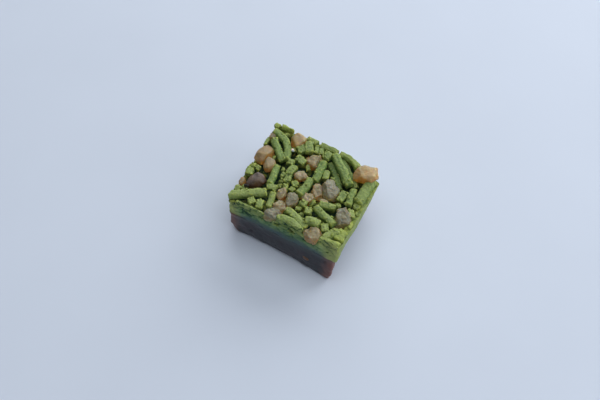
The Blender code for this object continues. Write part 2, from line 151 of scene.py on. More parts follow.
painted, tree, shader = new_material("matt_painted_board")
# Matt paint, rolled on: no clear reflection, only a faint cloudiness a few centimetres wide.
where = add_node(tree, "ShaderNodeTexCoord")
clouds = add_node(tree, "ShaderNodeTexNoise", {"Scale": per_size(45), "Detail": 2.0},
                  {"Vector": where.outputs["Object"]})
paint = add_node(tree, "ShaderNodeMix", {"data_type": "RGBA", 6: linear("#d3dae4"), 7: linear("#d8dfe9")},
                 {0: clouds.outputs["Fac"]})
tree.links.new(paint.outputs[2], shader.inputs["Base Color"])
shader.inputs["Roughness"].default_value = 0.7
shader.inputs["Specular IOR Level"].default_value = 0.3

bpy.ops.mesh.primitive_plane_add(size=TABLE_WIDTH)
table = bpy.context.object
table.name = "table_top"
table.data.materials.append(painted)

# %% Set the lamps and the sky
def add_lamp(name, place, width, power, colour):
    """A square area lamp that faces the slice."""
    lamp = bpy.data.objects.new(name, bpy.data.lights.new(name, "AREA"))
    lamp.data.size = width
    lamp.data.energy = power
    lamp.data.color = linear(colour)[:3]
    lamp.location = place
    lamp.rotation_euler = (Vector((0.0, 0.0, 0.01)) - Vector(place)).to_track_quat("-Z", "Y").to_euler()
    bpy.context.scene.collection.objects.link(lamp)


add_lamp("ceiling", (0.0, 0.0, 3.0), 3.5, 62.0, "#f0f6ff")
add_lamp("window_right", (0.40, 1.02, 0.50), 0.9, 8.6, "#f6f9ff")
add_lamp("window_left", (-0.39, 1.02, 0.49), 0.9, 5.0, "#f6f9ff")
add_lamp("room", (1.08, 0.0, 0.53), 0.9, 4.2, "#f2f6ff")

sky = bpy.data.worlds.new("sky")
sky.use_nodes = True
sky.node_tree.nodes["Background"].inputs["Color"].default_value = linear("#cfdcf2")
sky.node_tree.nodes["Background"].inputs["Strength"].default_value = 0.03
bpy.context.scene.world = sky
bpy.context.scene.view_settings.view_transform = "Standard"

# %% [markdown]
# ## Noise that shapes a mesh
#
# Bean paste is never smooth: it has soft lumps, and it is made of grains that stick together. Blender's own
# noise is called once for each point, which is slow for a few hundred thousand points, so here are two
# kinds of noise for whole arrays. The first mixes random slopes at the eight corners of each small cube of
# space and gives soft lumps. The second scatters a middle in each cube and looks for the nearest one, which
# gives packed grains with creases between them. Sizes are in millimetres, to stay true to the real paste.

# %% Smooth random lumps for arrays of points
NOISE_SIZE = 256
LUMP_SHIFT, GRAIN_SHIFT, START = 7.31, 5.17, 0.37  # how a seed moves a pattern: any uneven numbers will do
LUMP_GAIN = 1.7  # brings the lumps to about -1 to 1
dice = np.random.default_rng(7)
SHUFFLED = dice.permutation(NOISE_SIZE)
SLOPES = dice.normal(size=(NOISE_SIZE, 3))
SLOPES /= np.linalg.norm(SLOPES, axis=1)[:, None]


def row_of(cube):
    """A random row number for each small cube of space."""
    x, y, z = (cube % NOISE_SIZE).T
    return SHUFFLED[(SHUFFLED[(SHUFFLED[x] + y) % NOISE_SIZE] + z) % NOISE_SIZE]


def lumps(points, size, seed=0.0):
    """Smooth noise from about -1 to 1 at points in mm, with lumps that are about that size across."""
    at = points / size + seed * LUMP_SHIFT + START
    cube = np.floor(at).astype(int)
    share = at - cube
    smooth = share ** 3 * (share * (share * 6 - 15) + 10)
    total = np.zeros(len(points))
    for corner in np.ndindex(2, 2, 2):
        weight = np.prod(np.where(corner, smooth, 1.0 - smooth), axis=1)
        total += weight * np.sum(SLOPES[row_of(cube + corner)] * (share - corner), axis=1)
    return total * LUMP_GAIN


def ramp(value, low, high):
    """0 at low, 1 at high, and a smooth slope in between."""
    share = np.clip((value - low) / (high - low), 0.0, 1.0)
    return share * share * (3.0 - 2.0 * share)


test_points = dice.random((20000, 3)) * 50
print("lumps run from", lumps(test_points, 2.0).min().round(2), "to", lumps(test_points, 2.0).max().round(2))

# %% Packed grains
SPOTS = dice.random((NOISE_SIZE, 3))


def grains(points, size, seed=0.0):
    """How far points in mm are from the middle of their grain, how far from its border, and its number."""
    at = points / size + seed * GRAIN_SHIFT
    cube = np.floor(at).astype(int)
    near, second, number = (np.full(len(at), start) for start in (9.0, 9.0, 0.0))
    for step in np.ndindex(3, 3, 3):
        here = cube + step - 1
        row = row_of(here)
        away = np.linalg.norm(here + SPOTS[row] - at, axis=1)
        closer = away < near
        second = np.where(closer, near, np.minimum(second, away))
        number = np.where(closer, SPOTS[row, 0], number)
        near = np.where(closer, away, near)
    return near, second - near, number


print("from a grain's middle, in grain sizes:", grains(test_points, 2.0)[0].mean().round(2), "on average")

# %% [markdown]
# ## The form of the cut slice
#
# The slice isn't a true block: the knife leaned, the back was cut askew in a slow curve, and each wall
# waves a little. The solids were made from four corners of the top, how far the foot of each corner lies
# from it, and a smooth wave. The same few numbers are repeated here, in millimetres, so that the fine walls
# lie on the solid ones.

# %% The slice in plan
FRONT_LEFT, FRONT_RIGHT = np.array((-23.4, -17.4)), np.array((21.9, -18.9))
BACK_RIGHT, BACK_LEFT = np.array((23.3, 14.0)), np.array((-23.9, 22.0))
LEAN_FRONT_LEFT, LEAN_FRONT_RIGHT = np.array((-0.5, 0.0)), np.array((-1.7, -2.6))
LEAN_BACK_RIGHT, LEAN_BACK_LEFT = np.array((-6.0, -0.6)), np.array((0.4, -0.4))
BACK_BULGE, BULGE_TO_RIGHT = 3.0, 1.6
ACROSS, DEEP = 46.0, 37.0
BASE_HEIGHT, PASTE_TOP, KNIFE_TOP = 12.2, 19.4, 24.6
MIDDLE = np.array((-0.56, 0.37, 0.0))  # the origin, in the plan's own numbers
WAVE_SIZE = 9.0
SEAM_WAVE, SEAM_SEED = 0.55, 3


def wave(points, seed):
    """The smooth wave of the solids, from about -1 to 1, at points in mm."""
    shift = Vector((seed, 2.0 * seed, 0.5 * seed))
    return np.array([noise.noise(Vector(point) / WAVE_SIZE + shift) for point in points])


def in_slice(u, v, height):
    """Points at shares u from left to right and v from front to back of the slice, at heights in mm."""
    foot = (1.0 - height / PASTE_TOP)[:, None]
    front_left, front_right = FRONT_LEFT + LEAN_FRONT_LEFT * foot, FRONT_RIGHT + LEAN_FRONT_RIGHT * foot
    back_left, back_right = BACK_LEFT + LEAN_BACK_LEFT * foot, BACK_RIGHT + LEAN_BACK_RIGHT * foot
    front = front_left + (front_right - front_left) * u[:, None]
    behind = back_left + (back_right - back_left) * u[:, None]
    plan = front + (behind - front) * v[:, None]
    plan[:, 1] += BACK_BULGE * v * np.sin(math.pi * np.clip(u, 0.0, 1.0) ** BULGE_TO_RIGHT)
    return np.column_stack((plan, height))


def one_place(u, v, height):
    """A single point of the slice."""
    return in_slice(np.array([u]), np.array([v]), np.array([height]))[0]


def from_wall(u, v):
    """How far places in the slice are from the nearest wall, in mm."""
    return np.minimum(np.minimum(u, 1.0 - u) * ACROSS, np.minimum(v, 1.0 - v) * DEEP)


def seam_height(plan):
    """The height of the seam between the two layers."""
    return BASE_HEIGHT + SEAM_WAVE * wave(np.column_stack((plan, np.zeros(len(plan)))), SEAM_SEED)


def round_the_slice(spacing, edge):
    """Shares (u, v) round the slice, starting at the front left, with corners rounded by edge in mm."""
    across = np.arange(round(ACROSS / spacing)) * spacing
    deep = np.arange(round(DEEP / spacing)) * spacing
    x = np.concatenate((across, np.full(len(deep), ACROSS), ACROSS - across, np.zeros(len(deep))))
    y = np.concatenate((np.zeros(len(across)), deep, np.full(len(across), DEEP), DEEP - deep))
    side = np.column_stack((x, y))
    inner = np.clip(side, edge, (ACROSS - edge, DEEP - edge))
    out = side - inner
    far = np.maximum(np.linalg.norm(out, axis=1), edge)
    side = inner + out * (edge / far)[:, None]
    return side[:, 0] / ACROSS, side[:, 1] / DEEP


print("middle of the front wall's top:", one_place(0.5, 0.0, PASTE_TOP).round(1))

# %% Turn arrays into a mesh object
def mesh_object(name, points, faces, values=None):
    """A mesh object from points in mm, each point also carrying the named values that its finish needs."""
    mesh = bpy.data.meshes.new(name)
    mesh.from_pydata((points - MIDDLE) * MM, [], faces)
    for label, value in (values or {}).items():
        layer = mesh.attributes.new(label, "FLOAT", "POINT")
        layer.data.foreach_set("value", np.broadcast_to(value, len(points)).astype(np.float32))
    obj = bpy.data.objects.new(name, mesh)
    bpy.context.scene.collection.objects.link(obj)
    return obj


def stacked_rings(rings):
    """One closed surface through rings of points, one on another, with a fan of faces at each end."""
    rows, columns = rings.shape[:2]
    points = np.concatenate((rings.reshape(-1, 3), [rings[0].mean(axis=0), rings[-1].mean(axis=0)]))
    corner = np.arange(rows * columns).reshape(rows, columns)
    after = np.roll(corner, -1, axis=1)
    sides = np.stack((corner[:-1], after[:-1], after[1:], corner[1:]), axis=-1).reshape(-1, 4)
    low, high = rows * columns, rows * columns + 1
    first = [(b, a, low) for a, b in zip(corner[0], after[0])]
    last = [(a, b, high) for a, b in zip(corner[-1], after[-1])]
    return points, [tuple(side) for side in sides.tolist()] + first + last

# %% [markdown]
# ## What the knife leaves
#
# A knife through pressed noodles drags them shut into a nearly flat wall. The wall still shows their
# sections, softly, with creases between them, and here and there a hole where a noodle tore out. Further
# down the paste has run together. The wall is made as a tall hollow block, finely divided, that later trims
# everything green, the way a cutter would. The sections are packed grains that are squashed flat.

# %% The relief of a wall that was cut through noodles
TORN_HOLES = (
    # in the front wall: share from left to right, height, width, depth, in mm
    (0.16, 16.9, 1.6, 0.6),
    (0.31, 17.6, 1.8, 0.9),
    (0.45, 18.2, 2.6, 1.7),
    (0.59, 17.7, 3.0, 2.0),
    (0.70, 16.4, 1.2, 0.6),
    (0.78, 17.6, 1.4, 0.7),
    (0.84, 16.0, 0.9, 0.6),
    (0.92, 15.5, 1.3, 1.0),
    (0.95, 17.5, 1.1, 0.5),
)
SQUASH = np.diag((1.0, 1.0, 1.8))
SECTION_SIZE, CRUMB_SIZE, MEAL_SIZE = 3.6, 1.7, 0.8  # of cut noodles, their crumbs and the paste's own meal


def on_right(run):
    """1 along the right wall, which the knife smeared most, and 0 elsewhere, by the run round the slice."""
    return ramp(run, ACROSS - 1.0, ACROSS + 1.0) * ramp(run, ACROSS + DEEP + 1.0, ACROSS + DEEP - 1.0)


def cut_relief(run, points):
    """How far the cut wall stands out, in mm, at a distance round the slice and a height."""
    height = points[:, 2]
    loose = ramp(height, 12.4, 15.5)
    open_edge = ramp(height, 17.2, 19.2)
    bent = points + 0.9 * np.column_stack([lumps(points, 2.8, seed) for seed in (31, 32, 33)])
    near, border, number = grains(bent @ SQUASH, SECTION_SIZE, 34)
    patchy = ramp(lumps(points, 7.0, 35), -0.7, 0.2) * (1.0 - 0.6 * ramp(run, 0.6 * ACROSS, 0.75 * ACROSS))
    sections = 0.34 * (0.45 - near) + 0.20 * (number - 0.5) - 0.36 * patchy * ramp(border, 0.20, 0.0)
    near, border, number = grains(bent @ SQUASH, CRUMB_SIZE, 36)
    crumbs = 0.26 * (number - 0.5) - 0.15 * patchy * ramp(border, 0.2, 0.0)
    hole = 0.6 * ramp(near, 0.26, 0.10) * (number > 0.85) * ramp(height, 14.0, 16.0)
    for share, middle, width, depth in TORN_HOLES:
        away = np.hypot((run - share * ACROSS) / (0.5 * width), (height - middle) / (0.26 * width))
        hole += depth * ramp(away + 0.4 * lumps(points, 1.2, 37), 1.1, 0.5)
    near, border, number = grains(points, MEAL_SIZE, 38)
    fine = 0.14 * (0.5 - near) + 0.08 * lumps(points, 1.5, 39)
    drag = 0.05 * lumps(np.column_stack((run / 3.5, height / 0.5, height * 0.0)), 1.0, 40)
    rough = (sections + (0.5 + 0.5 * open_edge) * crumbs - hole) * loose
    return rough * (1.0 - 0.6 * on_right(run)) + fine + drag

# %% Build the knife
WALL_STEP = 0.25
BELLY, BELLY_RUN = 0.6, ACROSS + 0.65 * DEEP  # the right wall swells out most towards the back
CUT_RUFFLE = (0.35, 12)  # how far the solid's green walls shift to and fro, in mm, and the seed of that wave


def ruffled(points, amount, seed):
    """Shift points in plan by the slow unevenness of a cut wall."""
    points[:, 0] += amount * wave(points, seed)
    points[:, 1] += amount * wave(points, seed + 7)
    return points


def outward(ring):
    """The directions, in plan, that point out of a ring of points."""
    along = np.roll(ring, -1, axis=0) - np.roll(ring, 1, axis=0)
    out = np.column_stack((along[:, 1], -along[:, 0], np.zeros(len(ring))))
    return out / np.linalg.norm(out, axis=1)[:, None]


def add_knife(name, lowest, proud):
    """The four cut walls as a closed block, in rings WALL_STEP mm apart, standing out by proud mm more."""
    u, v = round_the_slice(WALL_STEP, 0.8)
    run = np.arange(len(u)) * WALL_STEP
    rings, levels = [], []
    for height in np.arange(lowest, KNIFE_TOP, WALL_STEP):
        ring = in_slice(u, v, np.full(len(u), height))
        out = outward(ring)
        ring = ruffled(ring, *CUT_RUFFLE)
        relief = cut_relief(run, ring)
        belly = BELLY * np.exp(-((run - BELLY_RUN) / 9.0) ** 2) + 0.35
        belly = (0.25 + belly * ramp(height, 20.0, 16.0)) * on_right(run)
        rings.append(ring + out * (relief + belly + proud)[:, None])
        levels.append(1.0 + np.clip(0.6 + relief / 0.7, 0.0, 1.0))
    relief = np.append(np.ravel(levels), (1.5, 1.5))
    values = {"batch": 1.5, "torn": 1.0, "cut": 2.0, "relief": relief, "dry": 1.4}
    return mesh_object(name, *stacked_rings(np.array(rings)), values)


knife = add_knife("knife", BASE_HEIGHT - 1.0, 0.0)
top_knife = add_knife("top_knife", 16.5, 0.05)
print("knife faces:", len(knife.data.polygons), "and", len(top_knife.data.polygons))

# %% [markdown]
# ## Where the noodles lie
#
# Noodles fall at random, but the eye knows this slice by a few dozen of them: the long one at the front
# left, the pair at the back left, the fan in front of the back right corner. These rows are nearly the ones
# that the solid part was built with, and a few were moved or thickened since, to look right. They run from
# the back of the slice to the front and say where a noodle starts and ends in plan, how far it bows to its
# left, its diameter, and how much higher it lies than one at rest.

# %% The noodles that show, in mm
NOODLES = (
    # back left corner
    (-23.3, 21.4, -22.1, 20.5, 0.0, 2.8, 0.2),
    (-20.3, 21.6, -16.3, 21.7, 0.1, 3.0, 0.4),
    (-22.0, 17.9, -12.5, 8.2, 2.4, 2.9, 0.2),
    (-20.4, 14.3, -13.2, 7.0, -0.4, 2.9, 0.2),
    (-23.4, 14.6, -23.3, 11.4, 0.0, 1.8, -0.3),
    # along the back
    (-8.8, 20.4, -5.2, 19.9, 0.2, 2.8, 0.1),
    (-7.6, 18.4, -6.0, 15.0, 0.0, 3.5, 0.1),
    (-10.2, 15.8, -8.3, 13.9, 0.0, 3.5, 0.0),
    (-4.5, 18.6, -3.7, 16.0, 0.1, 2.0, 0.1),
    (-3.0, 20.1, 3.4, 19.6, 0.1, 2.7, 0.2),
    (-2.4, 18.2, -1.2, 16.0, 0.0, 2.1, 0.3),
    (1.1, 17.2, 0.9, 14.9, 0.0, 3.4, 0.2),
    (5.3, 19.5, 13.7, 16.5, 0.9, 2.9, 0.1),
    (3.9, 17.0, 14.0, 7.3, 0.2, 3.4, 0.7),
    (6.8, 17.4, 16.4, 8.4, 0.3, 2.5, -0.9),
    (3.2, 14.1, 11.4, 5.0, 0.5, 2.6, -1.1),
    # middle
    (1.2, 12.4, 1.8, 3.5, 0.2, 3.1, 0.5),
    (4.2, 9.4, 4.9, 6.4, 0.0, 2.5, 0.2),
    (-8.2, 10.3, -5.4, 9.2, 0.0, 3.1, 0.3),
    (-3.8, 9.0, -2.6, 7.4, 0.0, 1.8, 0.0),
    (-10.9, 7.5, -9.0, 7.4, 0.0, 2.8, 0.1),
    (-7.9, 5.7, -8.2, 2.6, 0.0, 3.2, 0.2),
    (-8.2, 2.0, -7.6, -0.6, 0.0, 2.8, 0.2),
    (-14.0, 3.4, -12.6, -4.6, 0.1, 2.6, 0.3),
    (-11.6, 3.5, -10.8, 3.4, 0.0, 1.8, 0.1),
    (-10.4, 0.9, -9.6, 0.7, 0.0, 2.4, 0.5),
    (-22.6, 0.2, -21.8, 0.2, 0.0, 2.2, 0.1),
    (-20.4, 0.0, -19.6, -0.1, 0.0, 2.3, 0.1),
    (-22.3, -2.0, -22.0, -4.2, 0.0, 3.0, 0.1),
    (-7.2, -2.5, -6.8, -4.4, 0.0, 2.2, -0.1),
    (-4.6, 0.0, -3.6, -1.2, 0.0, 2.6, 0.3),
    (-4.7, -3.0, -3.6, -3.4, 0.0, 2.2, 0.0),
    (0.1, 3.0, -0.9, -4.0, 0.5, 3.1, 0.4),
    (6.6, 7.9, 8.6, 7.4, 0.0, 1.6, 0.0),
    (13.7, 3.6, 13.9, 0.3, 0.0, 3.0, 0.2),
    (16.5, 6.3, 17.3, -0.2, 0.1, 2.8, 0.3),
    (15.2, 9.9, 16.7, 8.5, 0.0, 1.5, 0.0),
    (20.8, 12.2, 20.2, 2.4, 0.0, 4.0, -0.2),
    (22.4, 13.2, 22.6, 12.2, 0.0, 1.9, 0.0),
    (19.5, 0.3, 20.9, 0.2, 0.0, 2.3, 0.1),
    # left and front left
    (-12.6, -6.2, -9.8, -5.9, 0.2, 2.6, 0.3),
    (-23.5, -15.7, -12.3, -9.2, 0.0, 3.3, 0.2),
    (-9.5, -8.2, -8.4, -14.0, 0.1, 2.5, 0.2),
    (-15.6, -14.2, -14.2, -15.4, 0.0, 3.1, 0.2),
    (-12.0, -13.4, -11.4, -16.0, 0.0, 2.9, 0.2),
    (-19.6, -17.7, -8.8, -18.4, 0.2, 2.6, -0.3),
    (-20.6, -9.6, -20.5, -11.0, 0.0, 2.2, 0.0),
    (-22.6, -10.8, -22.6, -12.4, 0.0, 2.3, 0.0),
    # front right
    (13.5, -2.0, 14.8, -2.2, 0.0, 1.9, 0.1),
    (19.3, -2.9, 20.6, -5.2, 0.0, 3.2, 0.2),
    (21.3, -6.6, 21.5, -8.8, 0.0, 1.6, -0.2),
    (8.2, -4.6, 13.4, -4.2, 0.1, 2.6, 0.2),
    (7.4, -7.0, 16.0, -10.6, 0.0, 2.8, 0.4),
    (1.8, -7.1, 3.4, -7.3, 0.0, 2.6, 0.3),
    (0.9, -9.9, 2.6, -9.5, 0.0, 1.6, 0.1),
    (5.4, -8.5, 5.7, -10.2, 0.0, 2.8, 0.3),
    (-1.8, -12.2, 7.2, -16.2, 0.5, 2.7, 0.2),
    (6.9, -13.5, 11.4, -13.2, 0.2, 3.4, 0.5),
    (13.3, -12.6, 14.8, -14.2, 0.0, 3.1, 0.2),
    (20.2, -11.9, 19.9, -14.9, 0.0, 4.2, -1.0),
    (18.6, -12.6, 15.6, -16.9, 0.0, 3.0, 0.0),
    (14.8, -17.9, 21.2, -17.8, 0.0, 2.7, 0.0),
    (-2.6, -17.1, 6.4, -18.6, 1.3, 3.4, -0.1),
)
print("noodles by hand:", len(NOODLES))

# %% [markdown]
# ## One noodle
#
# A noodle is a soft rod that came out of a round hole and broke off under its own weight. A curve with a
# round bevel would give its tube, but not its skin or its ends, and those make it look like paste: the skin
# is granular, and the ends tear along the borders of crumbs. So each one is built from rings of points: a
# dome of rings, a run of rings along the axis, and another dome. Then every point is pushed in or out by
# lumps and grains, and near a torn end by blocks that each stand at their own level.

# %% The axis of a noodle
PLUMPNESS = 1.05  # the paste spreads a little when it is pressed
REST_SHARE = 0.72  # a noodle's middle lies this share of its radius above the paste
WANDER, PASTE_WAVE = 0.25, 0.225  # how far an axis strays sideways, and how far the paste rises and falls


def noodle_axis(row, step):
    """Points along the middle of a noodle, every step mm, and its radius."""
    x1, y1, x2, y2, bow, diameter, lift = row
    radius = PLUMPNESS * diameter / 2
    start, along = np.array((x1, y1)), np.array((x2 - x1, y2 - y1))
    length = np.linalg.norm(along)
    left = np.array((-along[1], along[0])) / length
    share = np.linspace(0.0, 1.0, max(4, round(length / step)))[:, None]
    plan = start + share * along + left * (4.0 * bow * share * (1.0 - share))
    level = np.column_stack((plan, np.zeros(len(plan))))
    plan = plan + left * (WANDER * lumps(level, 3.0, 41))[:, None]
    paste = PASTE_TOP + PASTE_WAVE * wave(level, 9)
    return np.column_stack((plan, paste + REST_SHARE * radius + lift)), radius

# %% The rings of a noodle
DOME_RINGS = 8
SQUARENESS = 2.7  # 2 gives a round section: pressed noodles are a little flat on top


def noodle_rings(axis, radius, domes, sides):
    """Rings round an axis with a dome at each end, the way out at each point, and the way along so far."""
    angles = (np.arange(DOME_RINGS) + 0.35) / DOME_RINGS * math.pi / 2
    forward = np.gradient(axis, axis=0)
    forward /= np.linalg.norm(forward, axis=1)[:, None]
    centres, ahead, width, lean = [], [], [], []
    for end, (height, power) in zip((0, -1), domes):
        share = np.sin(angles) ** (2.0 / power)
        reach = np.cos(angles) ** (2.0 / power)
        sign = -1.0 if end == 0 else 1.0
        rows = axis[end] + forward[end] * (sign * height * reach)[:, None]
        order = slice(None) if end == 0 else slice(None, None, -1)
        centres.append(rows[order])
        ahead.append(np.tile(forward[end], (DOME_RINGS, 1)))
        width.append(share[order])
        lean.append((sign * reach)[order])
    centres = np.concatenate((centres[0], axis, centres[1]))
    ahead = np.concatenate((ahead[0], forward, ahead[1]))
    width = np.concatenate((width[0], np.ones(len(axis)), width[1]))
    lean = np.concatenate((lean[0], np.zeros(len(axis)), lean[1]))
    across = np.column_stack((-ahead[:, 1], ahead[:, 0], np.zeros(len(ahead))))
    across /= np.linalg.norm(across, axis=1)[:, None]
    up = np.cross(ahead, across)
    turn = np.arange(sides) / sides * 2.0 * math.pi
    round_it = across[:, None] * np.cos(turn)[:, None] + up[:, None] * np.sin(turn)[:, None]
    square = (np.abs(np.cos(turn)) ** SQUARENESS + np.abs(np.sin(turn)) ** SQUARENESS) ** (-1.0 / SQUARENESS)
    square *= radius / square.mean()
    rings = centres[:, None] + round_it * (square * width[:, None])[:, :, None]
    out = round_it * width[:, None, None] + (ahead * lean[:, None])[:, None]
    out /= np.linalg.norm(out, axis=2)[:, :, None]
    run = np.concatenate(([0.0], np.cumsum(np.linalg.norm(np.diff(centres, axis=0), axis=1))))
    return rings, out, run

# %% The skin and the torn ends of the paste
LEFT_END = -23.6
GAP_LEVEL = 18.0  # what lies below this is deep in a gap, and dark for that reason


def paste_skin(points, seed):
    """The relief of sieved paste in mm, and how high its grains stand from 0 to 1."""
    near, border, number = grains(points, 0.7, seed)
    fine = 0.19 * (0.5 - near) + 0.07 * lumps(points, 0.5, seed + 1)
    soft = 0.12 * lumps(points, 2.6, seed + 2) + 0.10 * lumps(points, 1.2, seed + 3)
    return soft + fine, np.clip(0.5 + fine / 0.3, 0.0, 1.0)


def torn_blocks(points, seed):
    """How far a torn face stands out, in mm: it breaks round crumbs, each at a level of its own."""
    near, border, number = grains(points, 1.2, seed)
    return 0.65 * (number - 0.55) - 0.30 * ramp(border, 0.20, 0.0)


def tone_and_painted_light_at(place, draw):
    """The tone of the paste from 1 to 2: random, paler in front and at the right, paler still along the back
    edge as painted light from behind, and darker as painted shade where a noodle lies low.
    """
    front, right = ramp(-place[1], -4.0, 17.0), ramp(place[0], 14.0, 22.0)
    share = min(max((place[0] - LEFT_END) / ACROSS, 0.0), 1.0)
    # Painted light: paste along the back edge is painted paler, as if lit from behind.
    painted_back_glow = ramp(one_place(share, 1.0, PASTE_TOP)[1] - place[1], 2.8, 1.4)
    # Painted shade: a noodle that lies lower than at rest is painted darker.
    painted_sunk_shade = ramp(place[2], 20.1, 19.3) if place[2] > GAP_LEVEL else 0.0
    trend = 0.32 * front + 0.5 * right - 0.3 * painted_sunk_shade + 0.8 * painted_back_glow
    return 1.0 + min(max(0.25 + trend + draw.uniform(-0.22, 0.22), 0.0), 1.0)


print("shade at the back left:", round(tone_and_painted_light_at((-20.0, 20.0, 20.4), random.Random(1)), 2))

# %% A finished noodle
def stubby(points, way, middle, radius, draw):
    """Press a short piece flat on top and draw its outline out into a few ragged points, as in a flower."""
    petals, turn = draw.choice((5, 6, 7)), draw.uniform(0.0, 6.3)
    angle = np.arctan2(points[:, 1] - middle[1], points[:, 0] - middle[0])
    depth = draw.uniform(0.02, 0.10) * min(radius, 2.8 / radius)
    ragged = depth * np.cos(petals * angle + turn) * (1.0 - way[:, 2] ** 2)
    points = points + way * ragged[:, None]
    top = middle[2] + radius * draw.uniform(0.55, 0.8)
    points[:, 2] = np.where(points[:, 2] > top, top + 0.25 * (points[:, 2] - top), points[:, 2])
    return points


def add_noodle(name, axis, radius, draw, collection):
    """A lumpy broken noodle as a closed mesh, with the values that its finish needs."""
    short = np.linalg.norm(axis[-1] - axis[0]) < 2.2 * radius
    ragged = [min(1.0, 1.5 / radius) ** 3 if short else draw.uniform(0.15, 1.0) for end in range(2)]
    domes = [(radius * draw.uniform(0.3, 0.55), draw.uniform(2.4, 3.6)) for end in range(2)]
    sides = round(2.0 * math.pi * radius / TOP_STEP)
    rings, out, run = noodle_rings(axis, radius, domes, sides)
    seed = draw.uniform(0.0, 99.0)
    flat, way = rings.reshape(-1, 3), out.reshape(-1, 3)
    torn = np.maximum(ragged[0] * np.exp(-run / 1.0), ragged[1] * np.exp(-(run[-1] - run) / 1.0))
    torn = np.repeat(torn, sides)
    if short:
        flat = stubby(flat, way, axis.mean(axis=0), radius, draw)
        torn = np.maximum(torn, 0.6 * min(1.0, 1.7 / radius) ** 3 * (1.0 - np.abs(way[:, 2])))
    chip = ramp(lumps(flat, 2.2, seed + 9), 0.48, 0.70)
    push, stand = paste_skin(flat, seed)
    turn = np.tile(np.arange(sides) / sides * 2.0 * math.pi, len(run))
    drawn_out = np.column_stack((2.2 * np.cos(turn), 2.2 * np.sin(turn), np.repeat(run, sides) / 6.0))
    push = push + np.maximum(torn, 0.35 * chip) * torn_blocks(flat, seed + 5) - 0.18 * chip
    push = push + 0.10 * lumps(drawn_out, 1.0, seed)
    # Long noodles towards the back are painted darker and get less of the painted sheen on top: painted
    # shade.
    painted_shade = 0.32 * ramp(run[-1], 6.0, 9.0) * ramp(axis[:, 1].mean(), -6.0, 0.0)
    points, faces = stacked_rings((flat + way * push[:, None]).reshape(rings.shape))
    # The tone below carries painted light and shade, and the last value is a painted sheen on what faces up.
    values = {
        "batch": max(tone_and_painted_light_at(axis.mean(axis=0), draw) - 0.5 * painted_shade, 1.0),
        "torn": 1.0 + np.append(np.maximum(torn, 0.6 * chip), ragged),
        "cut": 1.0,
        "relief": 1.0 + np.append(stand, (0.5, 0.5)),
        "dry": 1.0 + (1.0 - painted_shade) * np.append(ramp(way[:, 2], 0.1, 0.95), (0.0, 0.0)),
    }
    obj = mesh_object(name, points, faces, values)
    bpy.context.scene.collection.objects.unlink(obj)
    collection.objects.link(obj)
    return obj


def new_collection(name):
    """A named collection in the scene."""
    collection = bpy.data.collections.new(name)
    bpy.context.scene.collection.children.link(collection)
    return collection


def zone_of(place):
    """Which third of the top a place lies in: each third becomes a piece, so that none grows too heavy."""
    return zones["back" if place[1] > 6.0 else "middle" if place[1] > -6.0 else "front"]


TOP_STEP = 0.2
draw = random.Random(11)
zones = {name: new_collection("matcha_noodles_" + name) for name in ("back", "middle", "front")}
for index, row in enumerate(NOODLES):
    axis, radius = noodle_axis(row, TOP_STEP)
    add_noodle(f"noodle_{index:02d}", axis, radius, draw, zone_of(axis.mean(axis=0)))

# %% [markdown]
# ## Crumbs in the gaps
#
# Where noodles don't meet, crumbs of the same paste have fallen in. A crumb has flat broken sides, so it is
# made as a ball that a few random planes cut down, with the edges between them a little softened, and then
# the same skin and torn blocks as a noodle. A crumb goes wherever a shuffled list of places still has room,
# and takes as much of it as it can.

# %% How much room a place has
chestnut_nodes = sorted(name for name in frame["nodes"] if name.startswith("chestnut"))
top_chestnuts = [name for name in chestnut_nodes if name != "chestnut_in_base"]


def tree_of(objects):
    """A search tree of the faces of some objects."""
    points, faces = [], []
    for obj in objects:
        first = len(points)
        points += [obj.matrix_world @ vertex.co for vertex in obj.data.vertices]
        faces += [[first + corner for corner in face.vertices] for face in obj.data.polygons]
    return BVHTree.FromPolygons(points, faces)


def off_chestnut(place, height):
    """How far a place in plan is from the nearest chestnut piece, in mm: below 0 it lies inside one."""
    spot = Vector((*(place - MIDDLE[:2]), height)) * MM
    near, facing, index, far = chestnut_tree.find_nearest(spot)
    return (far if (spot - near).dot(facing) > 0 else -far) / MM


def room_at(place, starts, ends, radii, crumbs):
    """How far a place in plan is from the nearest noodle, chestnut piece or crumb, in mm."""
    along = ends - starts
    share = np.clip(np.sum((place - starts) * along, axis=1) / np.sum(along * along, axis=1), 0.0, 1.0)
    room = np.min(np.linalg.norm(starts + along * share[:, None] - place, axis=1) - radii)
    room = min(room, off_chestnut(place, PASTE_TOP + 0.8))
    return min([room] + [np.linalg.norm(place - other) - radius for other, radius in crumbs])


chestnut_tree = tree_of([frame["nodes"][name] for name in top_chestnuts])
print("chestnut pieces in the top:", len(top_chestnuts))

# %% Find places for crumbs
CRUMB_SPACING = 1.3
SMALLEST_CRUMB, LARGEST_CRUMB = 0.85, 1.35


def crumb_places(draw):
    """Places in the gaps and the radius that fits at each, in mm."""
    segments = []
    for row in NOODLES:
        axis, radius = noodle_axis(row, 1.5)
        segments += [(*a[:2], *b[:2], radius) for a, b in zip(axis, axis[1:])]
    segments = np.array(segments)
    starts, ends, radii = segments[:, :2], segments[:, 2:4], segments[:, 4]
    columns, rows = round(ACROSS / CRUMB_SPACING), round(DEEP / CRUMB_SPACING)
    spots = list(np.ndindex(columns, rows))
    draw.shuffle(spots)
    crumbs = []
    for i, j in spots:
        share = np.array([[(i + draw.random()) / columns], [(j + draw.random()) / rows]])
        place = in_slice(share[0], share[1], np.array([PASTE_TOP]))[0, :2]
        room = room_at(place, starts, ends, radii, crumbs)
        if room > SMALLEST_CRUMB:
            crumbs.append((place, min(room, LARGEST_CRUMB) + 0.15))
    return crumbs


crumbs = crumb_places(draw)
print("crumbs:", len(crumbs))

